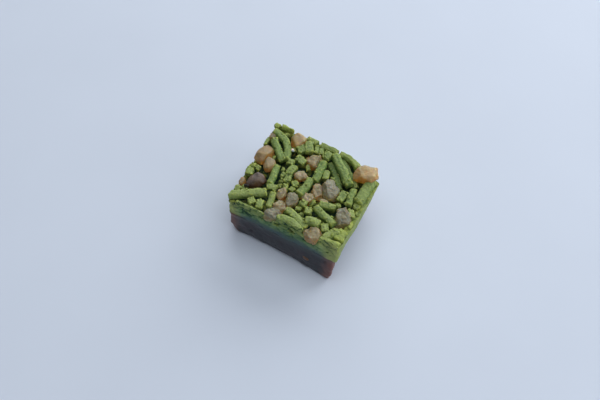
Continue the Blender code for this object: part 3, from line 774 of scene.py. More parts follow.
# %% One crumb
def ball(fineness):
    """The points of a ball of radius 1, with evenly sized triangles."""
    bm = bmesh.new()
    bmesh.ops.create_icosphere(bm, subdivisions=fineness, radius=1.0)
    bm.verts.ensure_lookup_table()
    points = np.array([vertex.co[:] for vertex in bm.verts])
    faces = [tuple(vertex.index for vertex in face.verts) for face in bm.faces]
    bm.free()
    return points / np.linalg.norm(points, axis=1)[:, None], faces


def broken_sides(way, draw, planes=9, softness=14.0):
    """How far a ball of radius 1 still reaches each way after random planes have cut it down."""
    dice = np.random.default_rng(draw.randrange(10 ** 6))
    facing = dice.normal(size=(planes, 3))
    facing /= np.linalg.norm(facing, axis=1)[:, None]
    near = dice.uniform(0.62, 1.0, planes)
    beyond = np.sum((np.clip(way @ facing.T, 0.0, None) / near) ** softness, axis=1)
    return np.clip(np.maximum(beyond, 0.01) ** (-1.0 / softness), 0.5, 1.25)


def add_crumb(name, middle, radius, fineness, draw, collection):
    """One crumb with broken sides and a granular skin."""
    way, faces = balls[fineness]
    stretch = np.array([draw.uniform(0.8, 1.2) for axis in range(3)])
    points = middle + way * (broken_sides(way, draw) * radius)[:, None] * stretch
    seed = draw.uniform(0.0, 99.0)
    push, stand = paste_skin(points, seed)
    push = (push + 0.6 * torn_blocks(points, seed + 5)) * min(1.0, radius)
    # As on a noodle: the tone carries painted light and shade, and the last value is a painted sheen on what
    # faces up.
    values = {
        "batch": tone_and_painted_light_at(middle, draw),
        "torn": draw.uniform(1.3, 1.8),
        "cut": 1.0,
        "relief": 1.0 + stand,
        "dry": 1.0 + ramp(way[:, 2], 0.1, 0.95),
    }
    obj = mesh_object(name, points + way * push[:, None], faces, values)
    bpy.context.scene.collection.objects.unlink(obj)
    collection.objects.link(obj)


balls = {fineness: ball(fineness) for fineness in (2, 3, 4)}
for index, (place, radius) in enumerate(crumbs):
    middle = np.array((*place, PASTE_TOP + 0.5 * radius))
    add_crumb(f"crumb_{index:02d}", middle, radius, 3 if radius < 1.0 else 4, draw, zone_of(place))

# %% [markdown]
# ## The bed underneath
#
# The gaps in the top are nearly black, because they are deep and other noodles lie across their floor. A
# gap that ends on a flat floor looks painted, so a second bed of noodles lies under the first. Nobody sees
# under that one, so it needs no whole noodles: it is a grid of points, each as high as the highest of many
# noodles that cross it. Along the walls the paste was pressed hardest, and there the bed rises to a rim. It
# stays lower where the knife went through a chestnut piece at the left, as no thin shaving of paste holds
# there.

# %% Lay the bed
BED_STEP = 0.3
BED_NOODLES = 190
BED_LOW, BED_HIGH = 14.0, 16.2  # between these heights lie the middles of the noodles in the bed
DEEPEST, RIM_LEVEL = 14.6, 19.8  # the height of the bed's floor and that of its rim
BACK_RIM, RIGHT_RIM = 0.4, 0.2  # how much higher the rim stands at the back and at the right
RIM_DROP = 3.6  # how far the rim comes down to the bed
OVERSIZE = 0.04  # how far the bed reaches past the slice on each side before it is cut
LEFT_RIM = 0.03  # the share of the width in which the knife went through chestnut pieces at the left
THINNEST, RIM_UNDER_PIECES = 0.6, 18.6  # where paste would be thinner than this, it ends at this height

columns, rows = (round(size * (1.0 + 2.0 * OVERSIZE) / BED_STEP) for size in (ACROSS, DEEP))
share_u, share_v = (np.linspace(-OVERSIZE, 1.0 + OVERSIZE, count + 1) for count in (columns, rows))
bed_u, bed_v = (grid.ravel() for grid in np.meshgrid(share_u, share_v))
bed = in_slice(bed_u, bed_v, np.full(len(bed_u), PASTE_TOP))
plan = bed[:, :2].copy()
bed[:, 2], bed_shade = DEEPEST, np.full(len(bed), 1.2)
for index in range(BED_NOODLES):
    middle = one_place(draw.random(), draw.random(), PASTE_TOP)
    turn, half, radius = draw.uniform(0.0, math.pi), draw.uniform(0.8, 3.2), draw.uniform(1.1, 1.6)
    way = np.array((math.cos(turn), math.sin(turn)))
    along = np.clip((plan - middle[:2]) @ way, -half, half)
    away = np.linalg.norm(plan - middle[:2] - along[:, None] * way, axis=1)
    level = draw.uniform(BED_LOW, BED_HIGH) + np.sqrt(np.clip(radius ** 2 - away ** 2, 0.0, None))
    higher = (away < radius) & (level > bed[:, 2])
    bed[higher, 2] = level[higher]
    bed_shade[higher] = tone_and_painted_light_at(middle, draw)
near, border, number = grains(bed * (1.0, 1.0, 0.0), 1.7, 23)
smeared = ramp(bed_u, 0.925, 0.955)
rim = (number - 0.5 - 0.5 * ramp(border, 0.2, 0.0)) * (1.0 - 0.7 * smeared) + 0.3 * lumps(bed, 2.4, 21)
rim += RIM_LEVEL + np.maximum(RIGHT_RIM * smeared, BACK_RIM * ramp(bed_v, 0.92, 0.96))
rim -= RIM_DROP * ramp(from_wall(bed_u, bed_v) - 1.2 * smeared, 0.8, 2.4)
bed_shade = np.maximum(bed_shade, 1.0 + 0.9 * smeared)
bed[:, 2] = np.maximum(bed[:, 2], rim)
push, stand = paste_skin(bed, 22)
bed[:, 2] += push
for index in np.flatnonzero(bed_u < LEFT_RIM):
    if off_chestnut(plan[index], RIM_LEVEL) < THINNEST:
        bed[index, 2] = min(bed[index, 2], RIM_UNDER_PIECES)
print("bed from", bed[:, 2].min().round(1), "to", bed[:, 2].max().round(1), "mm, points:", len(bed))

# %% Make the bed a closed block
def block_under(top, columns, rows):
    """The points and faces of a block whose top is a grid and whose foot follows the seam."""
    index = np.arange(len(top)).reshape(rows + 1, columns + 1)
    grid = np.stack((index[:-1, :-1], index[:-1, 1:], index[1:, 1:], index[1:, :-1]), axis=-1).reshape(-1, 4)
    border = np.concatenate((index[0, :-1], index[:-1, -1], index[-1, :0:-1], index[:0:-1, 0]))
    foot = top[border].copy()
    foot[:, 2] = seam_height(foot[:, :2]) - 0.15
    low = len(top) + np.arange(len(border))
    after, low_after, middle = np.roll(border, -1), np.roll(low, -1), len(top) + len(border)
    walls = np.stack((low, low_after, after, border), axis=-1)
    under = np.stack((low_after, low, np.full(len(low), middle)), axis=-1)
    points = np.concatenate((top, foot, [foot.mean(axis=0)]))
    return points, [tuple(face) for part in (grid, walls, under) for face in part.tolist()]


points, faces = block_under(bed, columns, rows)
spare = len(points) - len(bed)
# The tone carries painted light and shade, and the higher parts of the bed get a painted sheen.
values = {
    "batch": np.append(bed_shade, np.full(spare, 1.3)),
    "torn": 1.0,
    "cut": 1.0,
    "relief": np.append(1.0 + stand, np.full(spare, 1.5)),
    "dry": 1.0 + np.append(0.5 * ramp(bed[:, 2], 18.0, 20.0), np.zeros(spare)),
}
body = mesh_object("matcha_layer", points, faces, values)
print("faces of the block:", len(body.data.polygons))

# %% [markdown]
# ## Press, cut and clean
#
# Everything green is now joined, cut with the knife, and given sockets where the chestnut pieces sit. The
# fast Manifold solver does this in a moment, as every piece is a closed mesh. Four pieces come out of it:
# the layer with its bed, and the top noodles with their crumbs in three zones. The knife for the top ones
# stands out a hair more, so that no two cut faces lie in one plane, where a renderer can't tell which is in
# front.

# %% Join and cut with Booleans
def apply_modifiers(obj):
    """Replace the mesh by what its modifiers make of it."""
    bpy.context.view_layer.update()
    graph = bpy.context.evaluated_depsgraph_get()
    mesh = bpy.data.meshes.new_from_object(obj.evaluated_get(graph))
    obj.modifiers.clear()
    obj.data = mesh


def cut_or_join(obj, operation, other=None, collection=None):
    """Use a Boolean on an object and keep its result."""
    boolean = obj.modifiers.new("boolean", "BOOLEAN")
    boolean.operation = operation
    boolean.solver = "MANIFOLD"
    if collection:
        boolean.operand_type = "COLLECTION"
        boolean.collection = collection
    else:
        boolean.object = other
    apply_modifiers(obj)


def remove_collection(collection):
    """Remove a collection and what it holds."""
    for obj in list(collection.objects):
        bpy.data.objects.remove(obj, do_unlink=True)
    bpy.data.collections.remove(collection)


def drop_scraps(obj, fewest):
    """Delete bodies of fewer points than fewest, which are slivers that the knife left loose."""
    bm = bmesh.new()
    bm.from_mesh(obj.data)
    left, scraps = set(bm.verts), []
    while left:
        body = [left.pop()]
        for vertex in body:
            for edge in vertex.link_edges:
                other = edge.other_vert(vertex)
                if other in left:
                    left.remove(other)
                    body.append(other)
        if len(body) < fewest:
            scraps += body
    bmesh.ops.delete(bm, geom=scraps, context="VERTS")
    bm.to_mesh(obj.data)
    bm.free()
    return len(scraps)


def add_sockets(gap):
    """The room that the chestnut pieces need: copies of their solids, larger by a gap on every side."""
    sockets = new_collection("sockets")
    for name in top_chestnuts:
        socket = bpy.data.objects.new(name + "_socket", frame["nodes"][name].data.copy())
        bm = bmesh.new()
        bm.from_mesh(socket.data)
        # Faces that meet in a solid may each have points of their own, and swelling would pull them apart.
        bmesh.ops.remove_doubles(bm, verts=bm.verts[:], dist=0.001 * MM)
        bm.to_mesh(socket.data)
        bm.free()
        swell = socket.modifiers.new("swell", "DISPLACE")
        swell.strength, swell.mid_level = gap * MM, 0.0
        sockets.objects.link(socket)
    return sockets


SOCKET_GAP = 0.12
FEWEST_POINTS = 80  # a body with fewer is a sliver
sockets = add_sockets(SOCKET_GAP)
tops = []
for name, zone in zones.items():
    top = zone.objects[0]
    bpy.context.scene.collection.objects.link(top)
    zone.objects.unlink(top)
    cut_or_join(top, "UNION", collection=zone)
    top.name = "matcha_noodles_" + name
    tops.append(top)
for obj in [body] + tops:
    cut_or_join(obj, "INTERSECT", other=knife if obj is body else top_knife)
    cut_or_join(obj, "DIFFERENCE", collection=sockets)
    dropped = drop_scraps(obj, FEWEST_POINTS)
    print(obj.name, "faces:", len(obj.data.polygons), "loose points dropped:", dropped)
for collection in (sockets, *zones.values()):
    remove_collection(collection)
for obj in (knife, top_knife):
    bpy.data.objects.remove(obj)

# %% Fill in the values of new points
def neighbours(mesh):
    """The points at the two ends of every edge of a mesh, each edge taken both ways round."""
    edges = np.empty(len(mesh.edges) * 2, np.int32)
    mesh.edges.foreach_get("vertices", edges)
    return np.concatenate((edges.reshape(-1, 2), edges.reshape(-1, 2)[:, ::-1])).T


def fill_values(obj):
    """Points that a Boolean made along a cut carry 0: give them the mean of their neighbours' values."""
    here, there = neighbours(obj.data)
    for label in ("batch", "torn", "cut", "relief", "dry"):
        layer = obj.data.attributes[label]
        value = np.empty(len(obj.data.vertices), np.float32)
        layer.data.foreach_get("value", value)
        for turn in range(3):
            known = value[there] > 0.0
            total = np.bincount(here[known], value[there[known]], len(value))
            count = np.bincount(here[known], minlength=len(value))
            value = np.where((value == 0.0) & (count > 0), total / np.maximum(count, 1), value)
        layer.data.foreach_set("value", np.maximum(value, 1.0).astype(np.float32))


for obj in [body] + tops:
    fill_values(obj)
    obj.data.shade_smooth()
    print(obj.name, "triangles:", sum(len(face.vertices) - 2 for face in obj.data.polygons))

# %% Find the edges and the creases
EDGE_TURNS = 12  # how often the copy is smoothed: more turns find broader edges
EDGE_HEIGHT = 0.6  # an edge that stands out by half of this, in mm, counts in full


def places_and_ways(mesh):
    """The points of a mesh in mm and the way out at each."""
    points, out = np.empty(len(mesh.vertices) * 3, np.float32), np.empty(len(mesh.vertices) * 3, np.float32)
    mesh.vertices.foreach_get("co", points)
    mesh.vertex_normals.foreach_get("vector", out)
    return points.reshape(-1, 3) / MM, out.reshape(-1, 3)


def add_bend(obj):
    """Compare the surface with a smoothed copy: above 0.5 it stands out as an edge, below it is a crease."""
    here, there = neighbours(obj.data)
    points, out = places_and_ways(obj.data)
    count = np.maximum(np.bincount(here, minlength=len(points)), 1)
    smooth = points
    for turn in range(EDGE_TURNS):
        smooth = np.column_stack([np.bincount(here, smooth[there, axis], len(points)) for axis in range(3)])
        smooth /= count[:, None]
    stands = np.sum((points - smooth) * out, axis=1)
    for turn in range(2):
        stands = 0.5 * stands + 0.5 * np.bincount(here, stands[there], len(points)) / count
    layer = obj.data.attributes.new("bend", "FLOAT", "POINT")
    layer.data.foreach_set("value", (1.0 + np.clip(0.5 + stands / EDGE_HEIGHT, 0.0, 1.0)).astype(np.float32))
    return stands


for obj in [body] + tops:
    print(obj.name, "stands out by, in mm:", np.percentile(add_bend(obj), (5, 25, 50, 75, 95)).round(2))

# %% [markdown]
# ## Loose crumbs on top
#
# Rubbing paste through a sieve always leaves some fine crumbs that cling to the noodles. They are from
# under half a millimetre to a little over one across. Each is dropped straight down until it meets the top,
# so that it lies on something and none floats.

# %% Drop fine crumbs
FINE_CRUMBS = 220
CRUMB_BEND = 1.72  # a crumb this small is all edge, so it gets painted edge light, which makes it pale
ground = tree_of([body] + tops + [frame["nodes"][name] for name in top_chestnuts])
green_ground = tree_of([body] + tops)
fine_layer = new_collection("fine_layer")
for index in range(FINE_CRUMBS):
    place = one_place(draw.uniform(0.03, 0.97), draw.uniform(0.03, 0.97), KNIFE_TOP + 5.0) - MIDDLE
    down = Vector((0.0, 0.0, -1.0))
    hit = green_ground.ray_cast(Vector(place) * MM, down)[0]
    first = ground.ray_cast(Vector(place) * MM, down)[0]
    if hit is None or (first - hit).length > 0.01 * MM:
        continue
    radius = 0.2 + 0.4 * draw.random() ** 2
    middle = np.array(hit) / MM + MIDDLE + np.array((0.0, 0.0, 0.3 * radius))
    add_crumb(f"fine_{index:03d}", middle, radius, 2, draw, fine_layer)

fine = list(fine_layer.objects)
with bpy.context.temp_override(active_object=fine[0], selected_editable_objects=fine):
    bpy.ops.object.join()
loose = fine[0]
loose.name = "matcha_fine_crumbs"
loose.data.shade_smooth()
bpy.context.scene.collection.objects.link(loose)
fine_layer.objects.unlink(loose)
remove_collection(fine_layer)
bend = loose.data.attributes.new("bend", "FLOAT", "POINT")
bend.data.foreach_set("value", np.full(len(loose.data.vertices), CRUMB_BEND, np.float32))
print("fine crumbs kept:", len(fine), "faces:", len(loose.data.polygons))

# %% [markdown]
# ## The green paste's finish
#
# The paste is white bean, sugar and green tea powder: matt, finely granular and only a little translucent.
# Light that has passed through a thin edge comes out greener. A Principled shader with a high roughness and
# a short subsurface radius gives that. The meshes carry six values for it, and much of the colour made from
# them is painted light and shade. Grains that stand up (relief) are paler than the creases between them: a
# painted shade. The sides of the noodles are painted in shade, and their tops, which face up, get a paler,
# greyer painted sheen (dry). Long noodles towards the back get less of it and are painted
# darker. All that lies deep is painted dark. Each noodle has its own tone (batch): partly at
# random, since the tea isn't stirred in evenly, paler towards the front and the right, painted light along
# the back edge, as if lit from behind, and painted shade where it lies low. Torn ends and crumbs (torn) are
# yellower, as their surface is open. Thin edges get painted light and creases painted shade (bend). The cut
# wall (cut) has colours of its own, with painted light and shade in them too: paler at its top and ends,
# darker in its middle and in its holes, and low in its middle cool and dark towards the seam, a painted
# shade with a painted bluish reflection.

# %% Sieved matcha paste
GRAIN_SIZE = 0.45  # the real grain is about 0.1 mm, too fine to show from here, so it is drawn coarser


def value_of(tree, label):
    """A value from 0 to 1 that the mesh carries as 1 to 2."""
    carried = add_node(tree, "ShaderNodeAttribute", {"attribute_name": label})
    return add_node(tree, "ShaderNodeMapRange", {"From Min": 1.0, "From Max": 2.0},
                    {"Value": carried.outputs["Fac"]}).outputs["Result"]


def blend(tree, share, low, high, mode="MIX"):
    """Mix two colours, each a hex number or a socket, by a share from a socket or a number."""
    node = add_node(tree, "ShaderNodeMix", {"data_type": "RGBA", "blend_type": mode})
    for place, value in ((0, share), (6, low), (7, high)):
        if isinstance(value, str):
            node.inputs[place].default_value = linear(value)
        elif isinstance(value, float):
            node.inputs[place].default_value = value
        else:
            tree.links.new(value, node.inputs[place])
    return node.outputs[2]


def slope(tree, value, low, high, most=1.0):
    """A smooth share that is 0 where a value is low and reaches most where it is high."""
    return add_node(tree, "ShaderNodeMapRange",
                    {"interpolation_type": "SMOOTHSTEP", "From Min": low, "From Max": high, "To Max": most},
                    {"Value": value}).outputs["Result"]


def calculate(tree, operation, first, second):
    """One sum on a socket and a number or another socket."""
    settings = {"operation": operation}
    links = {0: first}
    if isinstance(second, float):
        settings[1] = second
    else:
        links[1] = second
    return add_node(tree, "ShaderNodeMath", settings, links).outputs[0]


def noise_at(tree, where, size_mm, detail=3.0):
    """Cloudy noise from 0 to 1 with patches of a size in mm."""
    return add_node(tree, "ShaderNodeTexNoise", {"Scale": per_size(size_mm), "Detail": detail},
                    {"Vector": where}).outputs["Fac"]


def aside(tree, where, middle):
    """How far a place is to the left or right of a middle, in metres."""
    across = add_node(tree, "ShaderNodeSeparateXYZ", links={"Vector": where}).outputs["X"]
    across = calculate(tree, "SUBTRACT", across, middle)
    return add_node(tree, "ShaderNodeMath", {"operation": "ABSOLUTE"}, {0: across}).outputs[0]


def matcha_paste():
    """Bean paste with green tea, rubbed through a sieve: matt and granular."""
    material, tree, shader = new_material("sieved_matcha_paste")
    coordinates = add_node(tree, "ShaderNodeTexCoord")
    where = coordinates.outputs["Object"]
    grain, cloud = noise_at(tree, where, GRAIN_SIZE), noise_at(tree, where, 3.0, 2.0)
    height = add_node(tree, "ShaderNodeSeparateXYZ", links={"Vector": where}).outputs["Z"]
    relief = value_of(tree, "relief")

    # The noodles. Grains that stand up (relief) are paler and the creases between them darker: painted
    # shade.
    # The sides are painted in shade, and the tops, which face up, get a paler, greyer painted sheen.
    painted_shade = blend(tree, relief, "#3a6330", "#7c9e50")
    dry = blend(tree, relief, "#5c7748", "#aab872")
    green = blend(tree, value_of(tree, "dry"), painted_shade, dry)
    # Painted shade: all that lies deep is painted dark.
    green = blend(tree, slope(tree, height, 21.3 * MM, 18.9 * MM, 0.97), green, "#183c2a")
    # Each noodle's own tone, which also carries painted light: paler and yellower as it rises, and at the
    # top of the scale a saturated yellow-green that is mostly a painted glow along the back edge.
    batch = value_of(tree, "batch")
    green = blend(tree, calculate(tree, "MULTIPLY", batch, 0.6), green, "#a4ad68")
    green = blend(tree, slope(tree, batch, 0.80, 1.0, 0.5), green, "#a4b250")
    green = blend(tree, slope(tree, cloud, 0.40, 0.70, 0.5), green, "#62763f")
    green = blend(tree, calculate(tree, "MULTIPLY", value_of(tree, "torn"), 0.3), green, "#a0a656")

    # The cut wall, with painted light and shade in its colours: paler towards its top and darker and cooler
    # towards the seam, darker in its middle, a painted shade with a bluish reflection low in its middle,
    # paler at its ends, then the smeared right side, the foot at the left, and painted shade in its holes.
    wavy = calculate(tree, "MULTIPLY", cloud, 2.4 * MM)
    level = calculate(tree, "SUBTRACT", height, wavy)
    # Paler towards the top of the wall and darker, cooler towards the seam: painted light and shade.
    upper = blend(tree, relief, "#5c7d40", "#d0d884")
    lower = blend(tree, relief, "#4f7a50", "#9ab684")
    cut = blend(tree, slope(tree, level, 18.4 * MM, 14.6 * MM), upper, lower)
    # Painted shade in the middle of the wall.
    cut = blend(tree, slope(tree, aside(tree, where, -4.0 * MM), 17.0 * MM, 11.0 * MM, 0.35), cut, "#3d6a42")
    # Painted shade with a painted bluish reflection, low in the middle of the wall above the seam.
    painted_shade_and_sheen = calculate(tree, "MULTIPLY", slope(tree, level, 14.6 * MM, 11.6 * MM),
                       slope(tree, aside(tree, where, 1.5 * MM), 21.0 * MM, 16.5 * MM))
    cut = blend(tree, painted_shade_and_sheen, cut, "#50666c")
    # Painted light at the two ends of the wall.
    pale = blend(tree, relief, "#84905a", "#c4ca82")
    cut = blend(tree, slope(tree, aside(tree, where, -1.0 * MM), 16.0 * MM, 20.5 * MM, 0.85), cut, pale)
    facing = add_node(tree, "ShaderNodeSeparateXYZ", links={"Vector": coordinates.outputs["Normal"]})
    cut = blend(tree, slope(tree, facing.outputs["X"], 0.5, 0.9, 0.5), cut, "#6c804a")
    foot = calculate(tree, "MULTIPLY", slope(tree, height, 13.6 * MM, 11.8 * MM, 0.7),
                     slope(tree, aside(tree, where, 23.0 * MM), 38.0 * MM, 43.0 * MM))
    cut = blend(tree, foot, cut, "#6a5748")
    # Painted shade in the holes and deep creases of the wall.
    cut = blend(tree, slope(tree, relief, 0.2, 0.0, 0.8), cut, "#23452f")
    is_cut = value_of(tree, "cut")
    green = blend(tree, is_cut, green, cut)

    # Painted light on edges and painted shade in creases, less on the cut wall and none at the seam.
    bend = value_of(tree, "bend")
    off_seam = slope(tree, height, 12.8 * MM, 14.0 * MM)
    most = add_node(tree, "ShaderNodeMapRange", {"To Min": 0.75, "To Max": 0.4}, {"Value": is_cut})
    most = calculate(tree, "MULTIPLY", most.outputs["Result"], off_seam)
    edge = calculate(tree, "MULTIPLY", slope(tree, bend, 0.63, 0.86, 0.65), most)
    crease = calculate(tree, "MULTIPLY", slope(tree, bend, 0.50, 0.24), most)
    green = blend(tree, edge, green, "#aeb24e")
    green = blend(tree, crease, green, "#1e4636")
    green = blend(tree, slope(tree, grain, 0.40, 0.66, 0.45), green, "#b9bb74", "SOFT_LIGHT")

    tree.links.new(green, shader.inputs["Base Color"])
    bumps = add_node(tree, "ShaderNodeBump", {"Strength": 0.6, "Distance": 0.12 * MM}, {"Height": grain})
    tree.links.new(bumps.outputs["Normal"], shader.inputs["Normal"])
    shader.inputs["Roughness"].default_value = 0.75
    shader.inputs["Specular IOR Level"].default_value = 0.4
    shader.inputs["Subsurface Weight"].default_value = 0.35
    shader.inputs["Subsurface Radius"].default_value = (0.75, 1.0, 0.3)
    shader.inputs["Subsurface Scale"].default_value = 0.8 * MM
    return material


matcha = matcha_paste()
for obj in [body, loose] + tops:
    obj.data.materials.clear()
    obj.data.materials.append(matcha)
    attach(obj, "root")
    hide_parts("matcha_noodles")

# %% [markdown]
# ## The dark layer
#
# Azuki beans boiled with sugar, mashed with their skins and pressed flat. Its cut wall is dense and moist:
# low swells where half beans lie under the surface, a fine mealy relief, and here and there the edge of a
# skin. The foot is a little rounded and its two front corners are rubbed off. The wall is again a stack of
# rings, from a rounded foot up to the seam, where it meets the green wall.

# %% Shape the azuki layer
AZUKI_STEP = 0.3
FOOT_RADIUS = 1.3
DRAWN_IN = 0.8  # how far the middle of the front wall's foot is drawn in
SHRUNK = 0.6  # how far the dark layer stays behind the smeared green one in the right wall
WEAR_LEFT, WEAR_RIGHT = (1.5, 4.4), (0.2, 2.0)  # how far in, and how far round the corner
CORNER_BULGE, BULGE_REACH = 0.6, 2.5  # the front right corner stands out half way up
FOOT_RUFFLE = (0.42, 5)  # the wave of the dark solid's walls, which turns into CUT_RUFFLE at the seam
WALL_SUNK = 0.04  # keeps the fine wall just behind the solid's


def worn(points, corner, depth, reach):
    """Rub points in and up, the more the nearer they are to a corner of the foot."""
    inwards = one_place(0.5, 0.5, 0.0) - corner
    inwards /= np.linalg.norm(inwards)
    inwards[2] = 0.45
    near = np.clip(1.0 - np.linalg.norm(points - corner, axis=1) / reach, 0.0, 1.0)
    return points + inwards * (depth * near)[:, None]


def azuki_relief(points):
    """How far the azuki wall stands out, in mm: soft swells over half beans, small pits and meal."""
    near, border, number = grains(points, 5.2, 52)
    bean = 0.35 * ramp(near, 0.6, 0.1) * (number > 0.5)
    pit = 0.4 * ramp(near, 0.18, 0.06) * (number < 0.25)
    lump = 0.24 * lumps(points, 4.4, 53) + 0.13 * lumps(points, 1.9, 54)
    near, border, number = grains(points, 1.0, 55)
    return (bean - pit + lump + 0.10 * (0.5 - near)) * ramp(points[:, 2], 0.0, 1.4)


def azuki_rings():
    """Rings of the dark layer's wall, from its flat foot up to the seam, and how near each point is to a
    corner,
    where the finish paints the paste redder: partly wear, partly painted light.
    """
    u, v = round_the_slice(AZUKI_STEP, 1.0)
    run = np.arange(len(u)) * AZUKI_STEP
    corners = np.array((0.0, ACROSS, ACROSS + DEEP, 2.0 * ACROSS + DEEP, 2.0 * (ACROSS + DEEP)))
    to_corner = np.min(np.abs(run[:, None] - corners), axis=1)
    seam = seam_height(in_slice(u, v, np.full(len(u), BASE_HEIGHT))[:, :2])
    levels = [(FOOT_RADIUS * (1 - math.sin(turn)), np.full(len(u), FOOT_RADIUS * (1 - math.cos(turn))))
              for turn in np.linspace(0.0, math.pi / 2, 6)]
    steps = round((BASE_HEIGHT - FOOT_RADIUS) / AZUKI_STEP)
    levels += [(0.0, FOOT_RADIUS + (seam - FOOT_RADIUS) * step / steps) for step in range(1, steps + 1)]
    rings, rubbed = [], []
    drawn_in = DRAWN_IN * ramp(run, 2.0, 12.0) * ramp(run, ACROSS - 1.0, ACROSS - 9.0)
    bulge = CORNER_BULGE * np.exp(-((run - ACROSS) / BULGE_REACH) ** 2)
    for inset, height in levels:
        plain = in_slice(u, v, height)
        out = outward(plain)
        own, cut = ruffled(plain.copy(), *FOOT_RUFFLE), ruffled(plain.copy(), *CUT_RUFFLE)
        high = ramp(height, 9.0, BASE_HEIGHT)[:, None]
        ring = np.where(height[:, None] > 0.0, own * (1.0 - high) + cut * high, plain)
        inset = inset + WALL_SUNK + SHRUNK * on_right(run) + drawn_in * ramp(height, 5.0, 0.0)
        inset = inset - bulge * ramp(height, 1.0, 4.0) * ramp(height, 11.0, 7.0)
        ring += out * (azuki_relief(ring) - inset)[:, None]
        ring = worn(ring, one_place(0.0, 0.0, 0.0), *WEAR_LEFT)
        ring = worn(ring, one_place(1.0, 0.0, 0.0), *WEAR_RIGHT)
        ring[:, 2] = np.maximum(ring[:, 2], 0.0)
        rings.append(ring)
        # Near a corner the paste is painted redder: partly wear, partly painted light on corners that catch
        # the lamps.
        rubbed.append(1.0 + ramp(to_corner + 1.2 * lumps(ring, 2.5, 57), 5.6, 1.2))
    return np.array(rings), np.append(np.ravel(rubbed), (1.0, 1.0))


rings, rubbed = azuki_rings()
azuki = mesh_object("azuki_layer", *stacked_rings(rings), {"rubbed": rubbed})
azuki.data.shade_smooth()
print("azuki faces:", len(azuki.data.polygons))

# %% Pressed azuki paste
def azuki_paste():
    """Mashed azuki beans with their skins: dark, dense and damp. Near the corners it is painted redder,
    partly as wear and partly as painted light, and in the middle towards the seam a painted shade and bluish
    sheen.
    """
    material, tree, shader = new_material("pressed_azuki_paste")
    where = add_node(tree, "ShaderNodeTexCoord").outputs["Object"]
    meal, cloud = noise_at(tree, where, 0.7, 4.0), noise_at(tree, where, 5.0, 2.0)
    skins = add_node(tree, "ShaderNodeTexVoronoi", {"Scale": per_size(2.4)}, {"Vector": where})
    dark = blend(tree, meal, "#28282b", "#3e3e44")
    dark = blend(tree, slope(tree, cloud, 0.45, 0.75, 0.6), dark, "#44343a")
    dark = blend(tree, slope(tree, skins.outputs["Distance"], 0.16, 0.05, 0.4), dark, "#5c4042")
    height = add_node(tree, "ShaderNodeSeparateXYZ", links={"Vector": where}).outputs["Z"]
    dark = blend(tree, slope(tree, height, 9.5 * MM, 12.6 * MM, 0.7), dark, "#585d4a")
    # Painted shade with a painted bluish reflection in the middle of the wall, towards the seam.
    inner = slope(tree, aside(tree, where, 1.5 * MM), 21.5 * MM, 17.5 * MM)
    painted_shade_and_sheen = calculate(tree, "MULTIPLY", slope(tree, height, 8.5 * MM, 12.6 * MM, 0.7), inner)
    dark = blend(tree, painted_shade_and_sheen, dark, "#3c4a52")
    # Redder near the corners: partly wear, partly painted light.
    dark = blend(tree, calculate(tree, "MULTIPLY", value_of(tree, "rubbed"), 0.85), dark, "#80554b")
    tree.links.new(dark, shader.inputs["Base Color"])
    bumps = add_node(tree, "ShaderNodeBump", {"Strength": 0.5, "Distance": 0.15 * MM}, {"Height": meal})
    tree.links.new(bumps.outputs["Normal"], shader.inputs["Normal"])
    shader.inputs["Roughness"].default_value = 0.5
    shader.inputs["Subsurface Weight"].default_value = 0.1
    shader.inputs["Subsurface Radius"].default_value = (1.0, 0.25, 0.2)
    shader.inputs["Subsurface Scale"].default_value = 1.0 * MM
    return material


azuki.data.materials.append(azuki_paste())
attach(azuki, "root")
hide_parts("azuki_base")

# %% [markdown]
# ## Candied chestnut
#
# Chestnuts simmered in syrup and broken up. A piece is translucent like cloudy amber: light goes in at the
# top and leaves, more orange, at the rim below. The shader lets some light through, and the orange of the
# sides is also painted into their colour, a painted glow. Some pieces are smooth and glazed, others have
# crumbled. The flesh breaks along flat faces, and bits break out of it and leave hollows. At the left the
# knife went through the pieces together with the paste. Each fine piece starts as a copy of its plain
# solid, divided into small even faces by a voxel remesh, then softened, cut down to flat faces and pushed
# in and out.
# Copying keeps every piece in its place and size, and the fine relief is real geometry, so it also shows at
# the outline.

# %% Break up the chestnut pieces
CHESTNUT_VOXEL = 0.22
SWELL = 0.5  # the pieces are swollen first, as the broken faces cut them down again
KNIFE_ROUNDING = 0.2
FLAT_TOP, FLAT_SIDES = (0.60, 0.78), (0.66, 0.92)  # how much of its reach a piece keeps where it broke flat
HOLLOW_PLACE, HOLLOW_SIZE = 1.25, 0.6  # the middle and radius of a hollow, in shares of the piece's reach
SMOOTH, HALF_CRUMBLED, CRUMBLED = 0.3, 0.55, 1.0  # how rough and flat a piece becomes
SMOOTH_PIECES = ("back", "back_left", "left_large", "left_round", "left_edge", "dark", "in_base")


def behind_wall(points):
    """Cut points back to the left wall, since the knife went through the pieces there as well."""
    depth = np.clip((points[:, 1] + MIDDLE[1] - FRONT_LEFT[1]) / (BACK_LEFT - FRONT_LEFT)[1], 0.0, 1.0)
    wall = in_slice(np.zeros(len(points)), depth, points[:, 2])[:, 0] - MIDDLE[0]
    beyond = np.maximum(wall - points[:, 0], 0.0)
    points[:, 0] += beyond * beyond / (beyond + KNIFE_ROUNDING)
    return points


def broken_flat(points, seed, rounding, planes=6):
    """Cut a rounded piece down to a chunk with a flat top and flat sides, with its edges rounded."""
    dice = np.random.default_rng(round(seed))
    middle = points.mean(axis=0)
    top = dice.normal(size=3) * 0.14 + (0.0, 0.0, 1.0)
    around = dice.normal(size=(planes, 3)) * (1.0, 1.0, 0.5)
    for index, facing in enumerate((top, *around)):
        facing = facing / np.linalg.norm(facing)
        reach = (points - middle) @ facing
        share = dice.uniform(*(FLAT_SIDES if index else FLAT_TOP))
        beyond = np.maximum(reach - reach.max() * share, 0.0)
        points = points - facing * (beyond * beyond / (beyond + rounding))[:, None]
    return points


